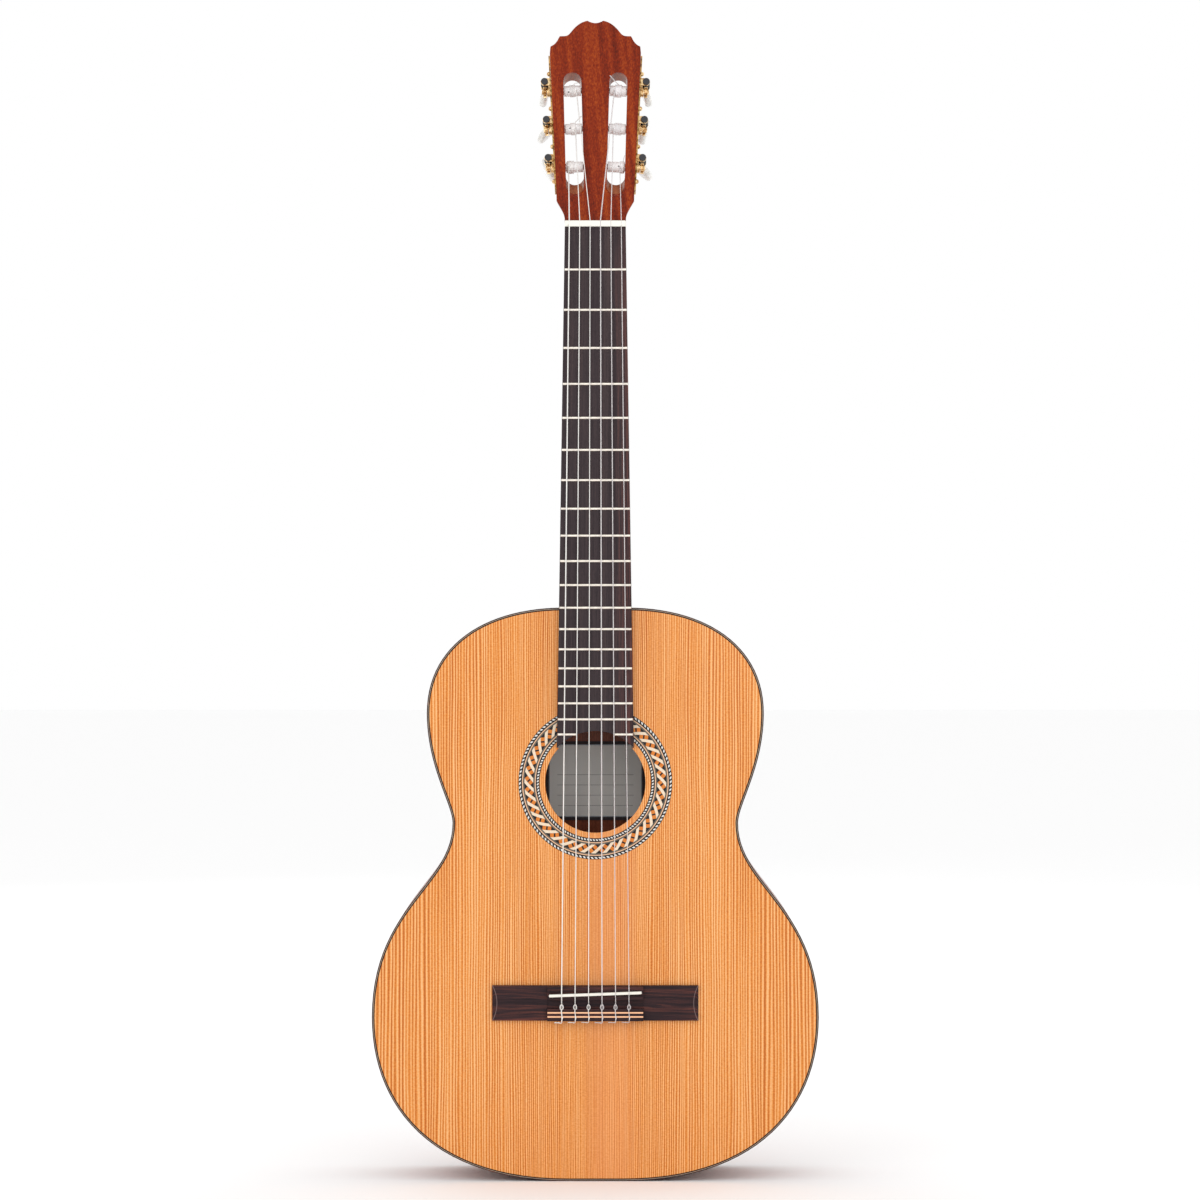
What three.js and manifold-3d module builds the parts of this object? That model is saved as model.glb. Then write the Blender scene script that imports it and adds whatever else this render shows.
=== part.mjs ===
// A classical guitar, upright: X to the viewer's right, the strings towards -Y, Z up the neck.
// Millimetres. The origin is the middle of the flat tail edge, half-way through the body's depth.
import * as THREE from "three";
import { mergeVertices } from "three/addons/utils/BufferGeometryUtils.js";
import Module from "manifold-3d";

const wasm = await Module();
wasm.setup();

const { Vector2, Vector3, Shape, Path } = THREE;

// ---- driving dimensions ----
const SCALE = 650; // open string length before compensation
const BODY_LENGTH = 490;
const NUT_Z = 815; // front edge of the nut
const FRETS = 19;

const TOP_Y = -48; // outer face of the soundboard
const TOP_THICK = 2.6;
const RIM_Y = 46; // back edge of the sides at the neck
const TAIL_DEEPER = 4; // how much deeper the body is at the tail
const BACK_THICK = 2.6;
const BACK_ARCH = 4;
const SIDE_THICK = 3;
const BINDING = 1.8;
const BINDING_TALL = 5.6;

const LOWER = new Vector2(191, 140); // the widest point of each bout, and the waist
const WAIST = new Vector2(122, 306);
const UPPER = new Vector2(144, 400);
const TAIL_FLAT = 24; // half widths of the straight parts at the tail and at the neck
const NECK_FLAT = 28;
const TAIL_PULL = 141; // how far across the tail's and the shoulders' curves are pulled
const SHOULDER_PULL = 94;
const LOWER_PULL = { low: 65, high: 235 }; // how far along the curves beside each widest point are pulled
const WAIST_PULL = { low: 253, high: 322 };
const UPPER_PULL = { low: 354, high: 458 };
const BACK_MIDDLE = 250; // the highest point of the back's arch
const GRAFT = 9;
const TAIL_BLOCK = 17;
const NECK_BLOCK_LOW = 424;

const HOLE_Z = NUT_Z - 474.4;
const HOLE_R = 42.9;
const ROSETTE_IN = 47.6;
const ROSETTE_OUT = 65.7;
const ROSETTE_DEEP = 1;

const BOARD_THICK = 6.5;
const BOARD_AT_NUT = 26; // half widths
const BOARD_AT_BODY = 31;
const BOARD_CORNER = 367; // where its sides meet the soundhole
const FRET_WIDE = 2;
const FRET_PROUD = 1.1;
const FRET_EDGE = 0.3;
const FRET_SUNK = 0.4;
const NUT_THICK = 5.2;
const NUT_TALL = 9.4;

const BRIDGE_LOW = 137.5;
const BRIDGE_HIGH = 167.5;
const BRIDGE_HALF = 88;
const CENTRE_HALF = 41;
const BRIDGE_TALL = 8.8;
const WING_TALL = 4;
const WING_TIP = 1.2;
const TIE_DEEP = 10.5;
const TROUGH_DEEP = 7.5;
const TROUGH_FLOOR = 3.4;
const SADDLE_THICK = 2.4;
const SADDLE_PROUD = 2.5;
const SADDLE_SLOT = 4.5;
const TREBLE_COMP = 3.5;
const BASS_COMP = 5.5;

const STRING_RADII = [0.54, 0.42, 0.37, 0.51, 0.41, 0.36]; // from the sixth string to the first
const AT_NUT = 22.15; // the outer strings' distance from the middle
const AT_SADDLE = 28.7;

const TILT = (15 * Math.PI) / 180; // the head leans back
const HEAD_LONG = 190;
const VENEER = 2;
const HEAD_THICK = 19;
const EDGE_LOW = 26; // the head's straight edges: where they start, and their half width there
const EDGE_HALF = 33;
const EDGE_SLOPE = 6.3 / 130; // the head widens upwards
const LEAN = Math.atan(EDGE_SLOPE);
const SHOULDER_Z = 165.6; // the stepped corner
const SHOULDER_HALF = 38.8;
const SLOT_R = 7.75;
const SLOT_LOW = 38; // the slots' middle lines are set out from here to their upper ends
const SLOT_HIGH = 142;
const SLOT_IN = 17.3;
const SLOT_SPREAD = 2.8;
const RAMP_LOW = 28.5; // the nut end slopes from the face down to the straight part
const RAMP_DEEP = 10.5;
const THROUGH_LOW = 42.5;

const AXLE_DEEP = 10.5; // the rollers' depth behind the head's face
const STATIONS = [128, 93, 58]; // up the head from the nut
const MODULE = 0.62;
const TEETH = 14;
const WORM_R = 2.8;
const WORM_UP = 7.2; // worm axis above the roller axis
const WORM_OUT = 5.7; // and outside the head's edge
const FLANK_GAP = 0.2;
const DRUM_R = 4.6;
const AXLE_R = 3.4;
const PLATE_THICK = 1.2;
const GAP = 0.05; // between glued or resting pieces that share a turned frame

// ---- solids ----
const finish = (color, roughness, metalness = 0) =>
  new THREE.MeshStandardMaterial({ color, roughness, metalness });
const cedar = finish(0xe8a868, 0.45);
const mahogany = finish(0x9a4a26, 0.35);
const rosewood = finish(0x4a2c24, 0.45);
const ebony = finish(0x3a3034, 0.5);
const spruce = finish(0xdcc49a, 0.7);
const maple = finish(0xe6cf9f, 0.5);
const bone = finish(0xf2ecd8, 0.4);
const paper = finish(0xc8c8c8, 0.9);
const gold = finish(0xd8a848, 0.3, 1);
const nylon = finish(0xe8e8e6, 0.35);
const pearl = finish(0xefeee8, 0.3);
const blackSteel = finish(0x202022, 0.4, 0.6);

const group = new THREE.Group();

function add(name, geometry, material, parent = group) {
  const mesh = new THREE.Mesh(geometry, material);
  mesh.name = name;
  parent.add(mesh);
  return mesh;
}

// A closed geometry as a manifold-3d solid, without its flattened triangles.
function solid(geometry) {
  const bare = geometry.clone();
  bare.deleteAttribute("normal");
  bare.deleteAttribute("uv");
  const merged = mergeVertices(bare, 1e-4);
  const kept = [];
  for (let i = 0; i < merged.index.count; i += 3) {
    const [a, b, c] = merged.index.array.slice(i, i + 3);
    if (a !== b && b !== c && a !== c) kept.push(a, b, c);
  }
  const vertProperties = new Float32Array(merged.attributes.position.array);
  return new wasm.Manifold(new wasm.Mesh({ numProp: 3, vertProperties, triVerts: new Uint32Array(kept) }));
}

function geometryOf(made) {
  const mesh = made.getMesh();
  const geometry = new THREE.BufferGeometry();
  geometry.setAttribute("position", new THREE.BufferAttribute(new Float32Array(mesh.vertProperties), 3));
  geometry.setIndex(new THREE.BufferAttribute(new Uint32Array(mesh.triVerts), 1));
  const flat = geometry.toNonIndexed();
  flat.computeVertexNormals();
  return flat;
}

const joined = (...pieces) => geometryOf(pieces.map(solid).reduce((all, piece) => all.add(piece)));
const cut = (piece, ...cutters) =>
  geometryOf(cutters.map(solid).reduce((left, cutter) => left.subtract(cutter), solid(piece)));

// A box from its low corner to its high corner.
function box(x0, y0, z0, x1, y1, z1) {
  const made = new THREE.BoxGeometry(x1 - x0, y1 - y0, z1 - z0);
  return made.translate((x0 + x1) / 2, (y0 + y1) / 2, (z0 + z1) / 2);
}

// An outline in X and Z, made solid from one depth to another.
function plate(shape, front, back, curveSegments = 12) {
  const made = new THREE.ExtrudeGeometry(shape, {
    depth: back - front,
    bevelEnabled: false,
    curveSegments,
  });
  return made.rotateX(Math.PI / 2).translate(0, back, 0);
}

// A cylinder along X, Y or Z between two coordinates of that axis.
function rod(axis, radius, from, to, sides = 16) {
  const made = new THREE.CylinderGeometry(radius, radius, to - from, sides);
  made.translate(0, (from + to) / 2, 0);
  if (axis === "x") made.rotateZ(-Math.PI / 2);
  if (axis === "z") made.rotateX(Math.PI / 2);
  return made;
}

// A closed body: the profile is carried through the stations, and both ends are capped.
function sweep(profile, stations, place) {
  const ring = profile.length;
  const points = stations.flatMap((station) => profile.map((p) => place(p, station)));
  const index = [];
  for (let s = 0; s + 1 < stations.length; s++) {
    for (let i = 0; i < ring; i++) {
      const a = s * ring + i;
      const b = s * ring + ((i + 1) % ring);
      index.push(a, b, b + ring, a, b + ring, a + ring);
    }
  }
  const last = (stations.length - 1) * ring;
  const around = THREE.ShapeUtils.isClockWise(profile) ? -1 : 1;
  for (const face of THREE.ShapeUtils.triangulateShape(profile, [])) {
    const [a, b, c] = around > 0 ? face : [...face].reverse();
    const turn = around > 0 ? [c, b, a] : [a, b, c];
    index.push(...turn, ...[...turn].reverse().map((i) => i + last));
  }
  let volume = 0;
  for (let i = 0; i < index.length; i += 3) {
    const [a, b, c] = index.slice(i, i + 3).map((k) => points[k]);
    volume += a.clone().cross(b).dot(c);
  }
  if (volume < 0) index.reverse();
  const made = new THREE.BufferGeometry().setFromPoints(points).setIndex(index);
  const flat = made.toNonIndexed();
  flat.computeVertexNormals();
  return flat;
}

const regular = (count, radius) =>
  Array.from({ length: count }, (_, i) => {
    const turn = (2 * Math.PI * i) / count;
    return new Vector2(radius * Math.cos(turn), radius * Math.sin(turn));
  });

// ---- the body's outline ----
function halfOutline(inset = 0, start = 0) {
  const path = new Path();
  path.moveTo(start, 0);
  path.lineTo(TAIL_FLAT, 0);
  path.bezierCurveTo(TAIL_PULL, 0, LOWER.x, LOWER_PULL.low, LOWER.x, LOWER.y);
  path.bezierCurveTo(LOWER.x, LOWER_PULL.high, WAIST.x, WAIST_PULL.low, WAIST.x, WAIST.y);
  path.bezierCurveTo(WAIST.x, WAIST_PULL.high, UPPER.x, UPPER_PULL.low, UPPER.x, UPPER.y);
  path.bezierCurveTo(UPPER.x, UPPER_PULL.high, SHOULDER_PULL, BODY_LENGTH, NECK_FLAT, BODY_LENGTH);
  path.lineTo(0, BODY_LENGTH);
  const points = path.getPoints(8);
  return points.map((p, i) => {
    const before = points[Math.max(i - 1, 0)];
    const after = points[Math.min(i + 1, points.length - 1)];
    const ahead = after.clone().sub(before).normalize();
    const flat = p.y === 0 || p.y === BODY_LENGTH;
    const inward = flat ? new Vector2(0, p.y === 0 ? 1 : -1) : new Vector2(-ahead.y, ahead.x);
    return inward.multiplyScalar(inset).add(p);
  });
}

function wholeOutline(inset) {
  const right = halfOutline(inset);
  const left = right.slice(1, -1).map((p) => new Vector2(-p.x, p.y));
  return [...right, ...left.reverse()];
}

const deeper = (z) => TAIL_DEEPER * (1 - z / BODY_LENGTH);

// The sections of a side: rebated at both edges for the bindings.
function side(hand) {
  const front = TOP_Y + TOP_THICK;
  const shoulder = TOP_Y + BINDING_TALL;
  const profile = [
    [0, shoulder],
    [BINDING, shoulder],
    [BINDING, front],
    [SIDE_THICK, front],
    [SIDE_THICK, RIM_Y],
    [BINDING, RIM_Y],
    [BINDING, RIM_Y + BACK_THICK - BINDING_TALL],
    [0, RIM_Y + BACK_THICK - BINDING_TALL],
  ].map(([inset, y]) => new Vector2(inset, y));
  const offsets = new Map(
    [0, BINDING, SIDE_THICK].map((inset) => [inset, halfOutline(inset, GRAFT)]),
  );
  const stations = offsets.get(0).map((_, i) => i);
  return sweep(profile, stations, (p, i) => {
    const at = offsets.get(p.x)[i];
    return new Vector3(hand * at.x, p.y > 0 ? p.y + deeper(at.y) : p.y, at.y);
  });
}

function binding(front, back, leans) {
  const shape = new Shape(wholeOutline(0));
  shape.holes.push(new Path(wholeOutline(BINDING)));
  const made = plate(shape, front, back);
  const at = made.attributes.position;
  for (let i = 0; leans && i < at.count; i++) at.setY(i, at.getY(i) + deeper(at.getZ(i)));
  return made;
}

// The back: flat where it lies on the sides, arched inside them.
function backPanel() {
  const centre = new Vector2(0, BACK_MIDDLE);
  const scales = [0.3, 0.6, 0.85, 0.97];
  const arch = (scale) => 1 - (scale / scales.at(-1)) ** 2;
  const inner = scales.map((scale) => ({ scale, y: RIM_Y, arch: arch(scale) }));
  const outer = inner.map((s) => ({ ...s, y: RIM_Y + BACK_THICK })).reverse();
  const stations = [
    ...inner,
    { scale: 1, y: RIM_Y, arch: 0 },
    { scale: 1, y: RIM_Y + BACK_THICK, arch: 0 },
    ...outer,
  ];
  return sweep(wholeOutline(BINDING), stations, (p, s) => {
    const at = p.clone().sub(centre).multiplyScalar(s.scale).add(centre);
    return new Vector3(at.x, s.y + BACK_ARCH * s.arch + deeper(at.y), at.y);
  });
}

const disc = (radius, sides = 48) =>
  regular(sides, radius).map((p) => new Vector2(p.x, p.y + HOLE_Z));

function rosette() {
  const shape = new Shape(disc(ROSETTE_OUT));
  shape.holes.push(new Path(disc(ROSETTE_IN)));
  return plate(shape, TOP_Y, TOP_Y + ROSETTE_DEEP);
}

function soundboard() {
  const shape = new Shape(wholeOutline(BINDING));
  shape.holes.push(new Path(disc(HOLE_R)));
  return cut(plate(shape, TOP_Y, TOP_Y + TOP_THICK), rosette());
}

add("soundboard", soundboard(), cedar);
add("rosette", rosette(), maple);
add("back_panel", backPanel(), mahogany);
add("bass_side", side(-1), mahogany);
add("treble_side", side(1), mahogany);
add("top_binding", binding(TOP_Y, TOP_Y + BINDING_TALL), rosewood);
add(
  "back_binding",
  binding(RIM_Y + BACK_THICK - BINDING_TALL, RIM_Y + BACK_THICK, true),
  rosewood,
);

const UNDER_TOP = TOP_Y + TOP_THICK;
const REBATE = RIM_Y + BACK_THICK - BINDING_TALL;
const graftBack = REBATE + deeper(SIDE_THICK);
add("tail_graft", box(-GRAFT, TOP_Y + BINDING_TALL, 0, GRAFT, graftBack, SIDE_THICK), rosewood);
const tailBlockBack = RIM_Y + deeper(TAIL_BLOCK);
add("tail_block", box(-TAIL_FLAT, UNDER_TOP, SIDE_THICK, TAIL_FLAT, tailBlockBack, TAIL_BLOCK), mahogany);
add(
  "neck_block",
  box(1 - NECK_FLAT, UNDER_TOP, NECK_BLOCK_LOW, NECK_FLAT - 1, RIM_Y, BODY_LENGTH - SIDE_THICK),
  mahogany,
);

// The label lies on the inside of the back, under the soundhole.
const LABEL_Z = 338;
const LABEL = { half: 43.5, tall: 34.5, thick: 0.3 };
const LABEL_Y = RIM_Y + deeper(LABEL_Z) + 1.8; // in front of the arched back
add(
  "label",
  box(-LABEL.half, LABEL_Y, LABEL_Z - LABEL.tall, LABEL.half, LABEL_Y + LABEL.thick, LABEL_Z + LABEL.tall),
  paper,
);

// ---- braces under the soundboard ----
const BRACE = { tall: 15, wide: 7, tip: 3, scoop: 30 };
function crossBrace(z, half) {
  const tip = UNDER_TOP + BRACE.tip;
  const ridge = UNDER_TOP + BRACE.tall;
  const shape = new Shape();
  shape.moveTo(-half, UNDER_TOP);
  shape.lineTo(half, UNDER_TOP);
  shape.lineTo(half, tip);
  shape.lineTo(half - BRACE.scoop, ridge);
  shape.lineTo(BRACE.scoop - half, ridge);
  shape.lineTo(-half, tip);
  const made = new THREE.ExtrudeGeometry(shape, { depth: BRACE.wide, bevelEnabled: false });
  return made.translate(0, 0, z - BRACE.wide / 2);
}
add("upper_transverse_brace", crossBrace(405, 134), spruce);
add("lower_transverse_brace", crossBrace(281, 116), spruce);

const FANS = 5;
const FAN_TALL = 4;
const FAN_FOOT = 2.5; // half widths
const FAN_RIDGE = 1.2;
for (let i = 0; i < FANS; i++) {
  const way = i - (FANS - 1) / 2;
  const high = new Vector3(way * 22, 0, 272);
  const low = new Vector3(way * 46, 0, 44 + 8 * Math.abs(way));
  const profile = [
    new Vector2(-FAN_FOOT, 0),
    new Vector2(FAN_FOOT, 0),
    new Vector2(FAN_RIDGE, FAN_TALL),
    new Vector2(-FAN_RIDGE, FAN_TALL),
  ];
  add(
    `fan_brace_${i + 1}`,
    sweep(profile, [low, high], (p, end) => new Vector3(end.x + p.x, UNDER_TOP + p.y, end.z)),
    spruce,
  );
}

// ---- neck and heel ----
const boardHalf = (z) =>
  BOARD_AT_NUT + ((BOARD_AT_BODY - BOARD_AT_NUT) * (NUT_Z - z)) / (NUT_Z - BODY_LENGTH);

// The foot of the head's frame, and a plane square to the head's face.
const HEAD_FOOT = 5.6;
const headPlaneZ = (y, along) =>
  NUT_Z + (along - (y - TOP_Y) * Math.sin(TILT)) / Math.cos(TILT);

const HEEL_FLAT = 11;
const HEEL_LONG = 15;
const NECK_SECTIONS = [
  { z: BODY_LENGTH, deep: RIM_Y - TOP_Y, flat: HEEL_FLAT, flare: 2.2, full: 1.1 },
  { z: BODY_LENGTH + HEEL_LONG, deep: RIM_Y - TOP_Y, flat: HEEL_FLAT, flare: 2.2, full: 1.1 },
  { z: 509, deep: 78, flat: 9.5, flare: 2.1, full: 1.05 },
  { z: 516, deep: 58, flat: 8, flare: 1.8, full: 1 },
  { z: 526, deep: 40, flat: 6.5, flare: 1.4, full: 0.95 },
  { z: 540, deep: 26.5, flat: 5, flare: 1.1, full: 0.9 },
  { z: 560, deep: 19.5, flat: 4, flare: 1, full: 0.85 },
  { z: 590, deep: 17, flat: 3, flare: 1, full: 0.85 },
  { z: 780, deep: 15.2, flat: 3, flare: 1, full: 0.85 },
  { z: 800, deep: 15.8, flat: 3, flare: 1, full: 0.85 },
  { z: 811, deep: 18.2, flat: 4, flare: 0.9, full: 0.8 },
];
const NECK_POINTS = 12;

function neck() {
  const end = { ...NECK_SECTIONS.at(-1), z: NUT_Z, deep: 19.6, head: true };
  const profile = Array.from({ length: NECK_POINTS + 1 }, (_, i) => {
    const turn = (Math.PI * i) / NECK_POINTS;
    return new Vector2(Math.cos(turn), Math.sin(turn));
  });
  return sweep(profile, [...NECK_SECTIONS, end], (p, s) => {
    const half = boardHalf(s.z);
    const across = Math.abs(p.x) < 1e-9 ? 0 : Math.sign(p.x);
    const x = across * (s.flat + (half - s.flat) * Math.abs(p.x) ** s.flare);
    const y = TOP_Y + s.deep * Math.max(p.y, 0) ** s.full;
    return new Vector3(x, y, s.head ? headPlaneZ(y, HEAD_FOOT - GAP) : s.z);
  });
}
add("neck", neck(), mahogany);

const CAP_ARC_Z = BODY_LENGTH + 4;
const CAP_SHOULDER = BODY_LENGTH + 8;
const capTurn = Math.asin((CAP_SHOULDER - CAP_ARC_Z) / HEEL_FLAT);
const heelCap = new Shape();
heelCap.moveTo(-HEEL_FLAT, BODY_LENGTH);
heelCap.lineTo(HEEL_FLAT, BODY_LENGTH);
heelCap.lineTo(HEEL_FLAT, CAP_SHOULDER);
heelCap.absarc(0, CAP_ARC_Z, HEEL_FLAT, capTurn, Math.PI - capTurn);
heelCap.lineTo(-HEEL_FLAT, BODY_LENGTH);
add("heel_cap", plate(heelCap, RIM_Y, RIM_Y + BACK_THICK, 8), rosewood);

// ---- fingerboard, frets and nut ----
const fretZ = (n) => NUT_Z - SCALE * (1 - 2 ** (-n / 12));

function fingerboard() {
  const half = boardHalf(BOARD_CORNER);
  const arcFrom = Math.asin(half / HOLE_R);
  const shape = new Shape();
  shape.moveTo(-BOARD_AT_NUT, NUT_Z);
  shape.lineTo(-half, HOLE_Z + HOLE_R * Math.cos(arcFrom));
  shape.absarc(0, HOLE_Z, HOLE_R, Math.PI / 2 + arcFrom, Math.PI / 2 - arcFrom, true);
  shape.lineTo(BOARD_AT_NUT, NUT_Z);
  const front = TOP_Y - BOARD_THICK;
  const board = plate(shape, front, TOP_Y, 10);
  const mouth = rod("y", HOLE_R, front - 9, TOP_Y + 9, 64).translate(0, 0, HOLE_Z);
  const frets = Array.from({ length: FRETS }, (_, i) => {
    const z = fretZ(i + 1);
    const wide = boardHalf(z) - 0.4;
    const crown = [
      [-2, FRET_SUNK],
      [-2, -FRET_EDGE],
      [-1, -FRET_PROUD],
      [1, -FRET_PROUD],
      [2, -FRET_EDGE],
      [2, FRET_SUNK],
    ].map(([quarter, y]) => new Vector2((quarter * FRET_WIDE) / 4, y));
    return sweep(crown, [-wide, wide], (p, x) => new Vector3(x, front + p.y, z + p.x));
  });
  return cut(joined(board, ...frets), mouth);
}
add("fingerboard", fingerboard(), ebony);

const STRINGS = 6;
const spread = (i, outer) => ((2 * i) / (STRINGS - 1) - 1) * outer;
const NUT_TOP = TOP_Y - NUT_TALL;

function nut() {
  const bar = box(-BOARD_AT_NUT, NUT_TOP, NUT_Z, BOARD_AT_NUT, TOP_Y, NUT_Z + NUT_THICK);
  const notches = STRING_RADII.map((radius, i) => {
    const x = spread(i, AT_NUT);
    const wide = radius + 0.2;
    return box(x - wide, NUT_TOP - 1, NUT_Z - 1, x + wide, NUT_TOP + radius + 0.6, NUT_Z + NUT_THICK + 1);
  });
  return cut(bar, ...notches);
}
add("nut", nut(), bone);

// ---- bridge ----
const saddleZ = (x) => {
  const slope = (BASS_COMP - TREBLE_COMP) / (2 * AT_SADDLE);
  return NUT_Z - SCALE - (BASS_COMP + TREBLE_COMP) / 2 + slope * x;
};
const SADDLE_HALF = 39.5;

// The saddle's slanted outline, grown by a clearance.
function saddleShape(grow) {
  const half = SADDLE_HALF + grow;
  const thick = SADDLE_THICK / 2 + grow;
  return new Shape([
    new Vector2(-half, saddleZ(-half) - thick),
    new Vector2(half, saddleZ(half) - thick),
    new Vector2(half, saddleZ(half) + thick),
    new Vector2(-half, saddleZ(-half) + thick),
  ]);
}

const BRIDGE_TOP = TOP_Y - BRIDGE_TALL;
const SADDLE_FOOT = BRIDGE_TOP + SADDLE_SLOT;
const SADDLE_TOP = BRIDGE_TOP - SADDLE_PROUD;
const HOLE_Y = TOP_Y - 5.8; // the string holes through the tie block
const STRIP_WIDE = 1.3; // the pale strips let into the tie block
const STRIP_DEEP = 0.8;
const STRIP_Z = [BRIDGE_LOW + 7.2, BRIDGE_LOW + 3.7];

function bridge() {
  const wingProfile = [
    new Vector2(0, 0),
    new Vector2(1, 0),
    new Vector2(1, 0.45),
    new Vector2(0.88, 0.9),
    new Vector2(0.7, 1),
    new Vector2(0.3, 1),
    new Vector2(0.12, 0.9),
    new Vector2(0, 0.45),
  ];
  const across = [
    [-BRIDGE_HALF, WING_TIP],
    [-BRIDGE_HALF + 5, WING_TALL - 0.4],
    [-CENTRE_HALF, WING_TALL],
    [CENTRE_HALF, WING_TALL],
    [BRIDGE_HALF - 5, WING_TALL - 0.4],
    [BRIDGE_HALF, WING_TIP],
  ];
  const deep = BRIDGE_HIGH - BRIDGE_LOW;
  const wings = sweep(wingProfile, across, (p, [x, tall]) =>
    new Vector3(x, TOP_Y - tall * p.y, BRIDGE_LOW + deep * p.x),
  );
  const tie = box(-CENTRE_HALF, BRIDGE_TOP, BRIDGE_LOW, CENTRE_HALF, TOP_Y, BRIDGE_LOW + TIE_DEEP);
  const trough = BRIDGE_LOW + TIE_DEEP + TROUGH_DEEP;
  const bed = box(-CENTRE_HALF, BRIDGE_TOP, trough, CENTRE_HALF, TOP_Y, BRIDGE_HIGH - 1);
  const floor = TOP_Y - TROUGH_FLOOR;
  const hollow = box(-CENTRE_HALF, BRIDGE_TOP - 5, BRIDGE_LOW + TIE_DEEP, CENTRE_HALF, floor, trough);
  const slot = plate(saddleShape(0.15), BRIDGE_TOP - 5, SADDLE_FOOT);
  const holes = STRING_RADII.map((_, i) =>
    rod("z", 1.2, BRIDGE_LOW - 5, BRIDGE_LOW + TIE_DEEP + 1, 10).translate(spread(i, AT_SADDLE), HOLE_Y, 0),
  );
  const rails = STRIP_Z.map((z) => {
    const low = z - STRIP_WIDE / 2;
    const side = CENTRE_HALF + 1;
    return box(-side, BRIDGE_TOP - 1, low, side, BRIDGE_TOP + STRIP_DEEP, low + STRIP_WIDE);
  });
  return cut(joined(wings, tie, bed), hollow, slot, ...holes, ...rails);
}

add("bridge", bridge(), rosewood);
["tie_block_strip_upper", "tie_block_strip_lower"].forEach((name, i) => {
  const low = STRIP_Z[i] - STRIP_WIDE / 2;
  add(
    name,
    box(-CENTRE_HALF, BRIDGE_TOP, low, CENTRE_HALF, BRIDGE_TOP + STRIP_DEEP, low + STRIP_WIDE),
    maple,
  );
});
add("saddle", plate(saddleShape(0), SADDLE_TOP, SADDLE_FOOT), bone);

// ---- head ----
const head = new THREE.Group();
head.position.set(0, TOP_Y, NUT_Z);
head.rotation.x = -TILT;
group.add(head);

// Half of the head's outline: ogee, straight side, stepped shoulder, crest with a dip.
function headShape() {
  const foot = new Vector2(BOARD_AT_NUT + 0.2, HEAD_FOOT);
  const right = new Path();
  right.moveTo(foot.x, foot.y);
  right.lineTo(foot.x, 9);
  right.bezierCurveTo(26.6, 19, 32.5, 17, EDGE_HALF, EDGE_LOW);
  right.lineTo(EDGE_HALF + EDGE_SLOPE * (160 - EDGE_LOW), 160);
  right.lineTo(SHOULDER_HALF, SHOULDER_Z);
  right.quadraticCurveTo(33.5, 168, 31.2, 175.6);
  right.lineTo(27, 175.7);
  right.bezierCurveTo(23, 175.8, 22, 178.5, 20, 180.9);
  right.bezierCurveTo(16, 186.2, 11.5, 189.2, 6.8, HEAD_LONG);
  right.quadraticCurveTo(3, 187.8, 0, 187.8);
  const points = right.getPoints(5);
  const left = points.slice(0, -1).map((p) => new Vector2(-p.x, p.y));
  return new Shape([...points, ...left.reverse()]);
}

const slotCentre = (z) => SLOT_IN + (SLOT_SPREAD * (z - SLOT_LOW)) / (SLOT_HIGH - SLOT_LOW);

// A leaning round-ended slot whose nut end opens forwards as a ramp.
function slotCutter(hand) {
  const arc = 8;
  const profile = Array.from({ length: 2 * arc + 2 }, (_, i) => {
    const top = i <= arc;
    const turn = (Math.PI * (top ? i : i - 1)) / arc;
    return new Vector2(Math.cos(turn), Math.sin(turn) + (top ? 1 : -1));
  });
  const stations = [
    { y: -2, low: RAMP_LOW - 2 },
    { y: 0, low: RAMP_LOW },
    { y: RAMP_DEEP, low: THROUGH_LOW },
    { y: HEAD_THICK + 3, low: THROUGH_LOW },
  ];
  return sweep(profile, stations, (p, s) => {
    const end = p.y > 0 ? SLOT_HIGH - SLOT_R : s.low + SLOT_R;
    const rise = p.y > 0 ? p.y - 1 : p.y + 1;
    return new Vector3(hand * (slotCentre(end) + SLOT_R * p.x), s.y, end + SLOT_R * rise);
  });
}

const HANDS = { bass: -1, treble: 1 };

// The frame of a side plate: X out of the head's edge, Z up along it, Y back; mirrored for the bass.
function edgeGroup(hand) {
  const edge = new THREE.Group();
  edge.position.set(hand * EDGE_HALF, AXLE_DEEP, EDGE_LOW);
  edge.rotation.y = hand * LEAN;
  edge.scale.x = hand;
  edge.updateMatrix();
  return edge;
}
const edges = Object.fromEntries(Object.entries(HANDS).map(([key, hand]) => [key, edgeGroup(hand)]));
Object.values(edges).forEach((edge) => head.add(edge));
const alongEdge = (station) => (station - EDGE_LOW) / Math.cos(LEAN);

// How far a roller reaches in from the head's edge: past the slot into the middle wood.
function rollerReach(station) {
  const edgeX = EDGE_HALF + EDGE_SLOPE * (station - EDGE_LOW);
  const slotX = slotCentre(station);
  return { wall: edgeX - slotX - SLOT_R, slot: edgeX - slotX + SLOT_R };
}
const PIN_LONG = 5;
const PIN_R = 2.4;

// The holes that the rollers turn in.
function axleCutters() {
  return Object.entries(HANDS).flatMap(([key, hand]) =>
    STATIONS.flatMap((station) => {
      const { wall, slot } = rollerReach(station);
      const outer = rod("x", AXLE_R + 0.2, -wall - 2, 3, 10);
      const inner = rod("x", PIN_R + 0.2, -slot - PIN_LONG - 0.3, -slot + 2, 8);
      return [outer, inner].map((hole) => {
        hole.translate(0, 0, alongEdge(station)).applyMatrix4(edges[key].matrix);
        return hand < 0 ? flipped(hole) : hole;
      });
    }),
  );
}

// A mirrored geometry turned the right way out again.
function flipped(geometry) {
  const made = geometry.index ? geometry.toNonIndexed() : geometry;
  const at = made.attributes.position;
  for (let i = 0; i < at.count; i += 3) {
    const first = new Vector3().fromBufferAttribute(at, i);
    const second = new Vector3().fromBufferAttribute(at, i + 1);
    at.setXYZ(i, second.x, second.y, second.z);
    at.setXYZ(i + 1, first.x, first.y, first.z);
  }
  return made;
}

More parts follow.
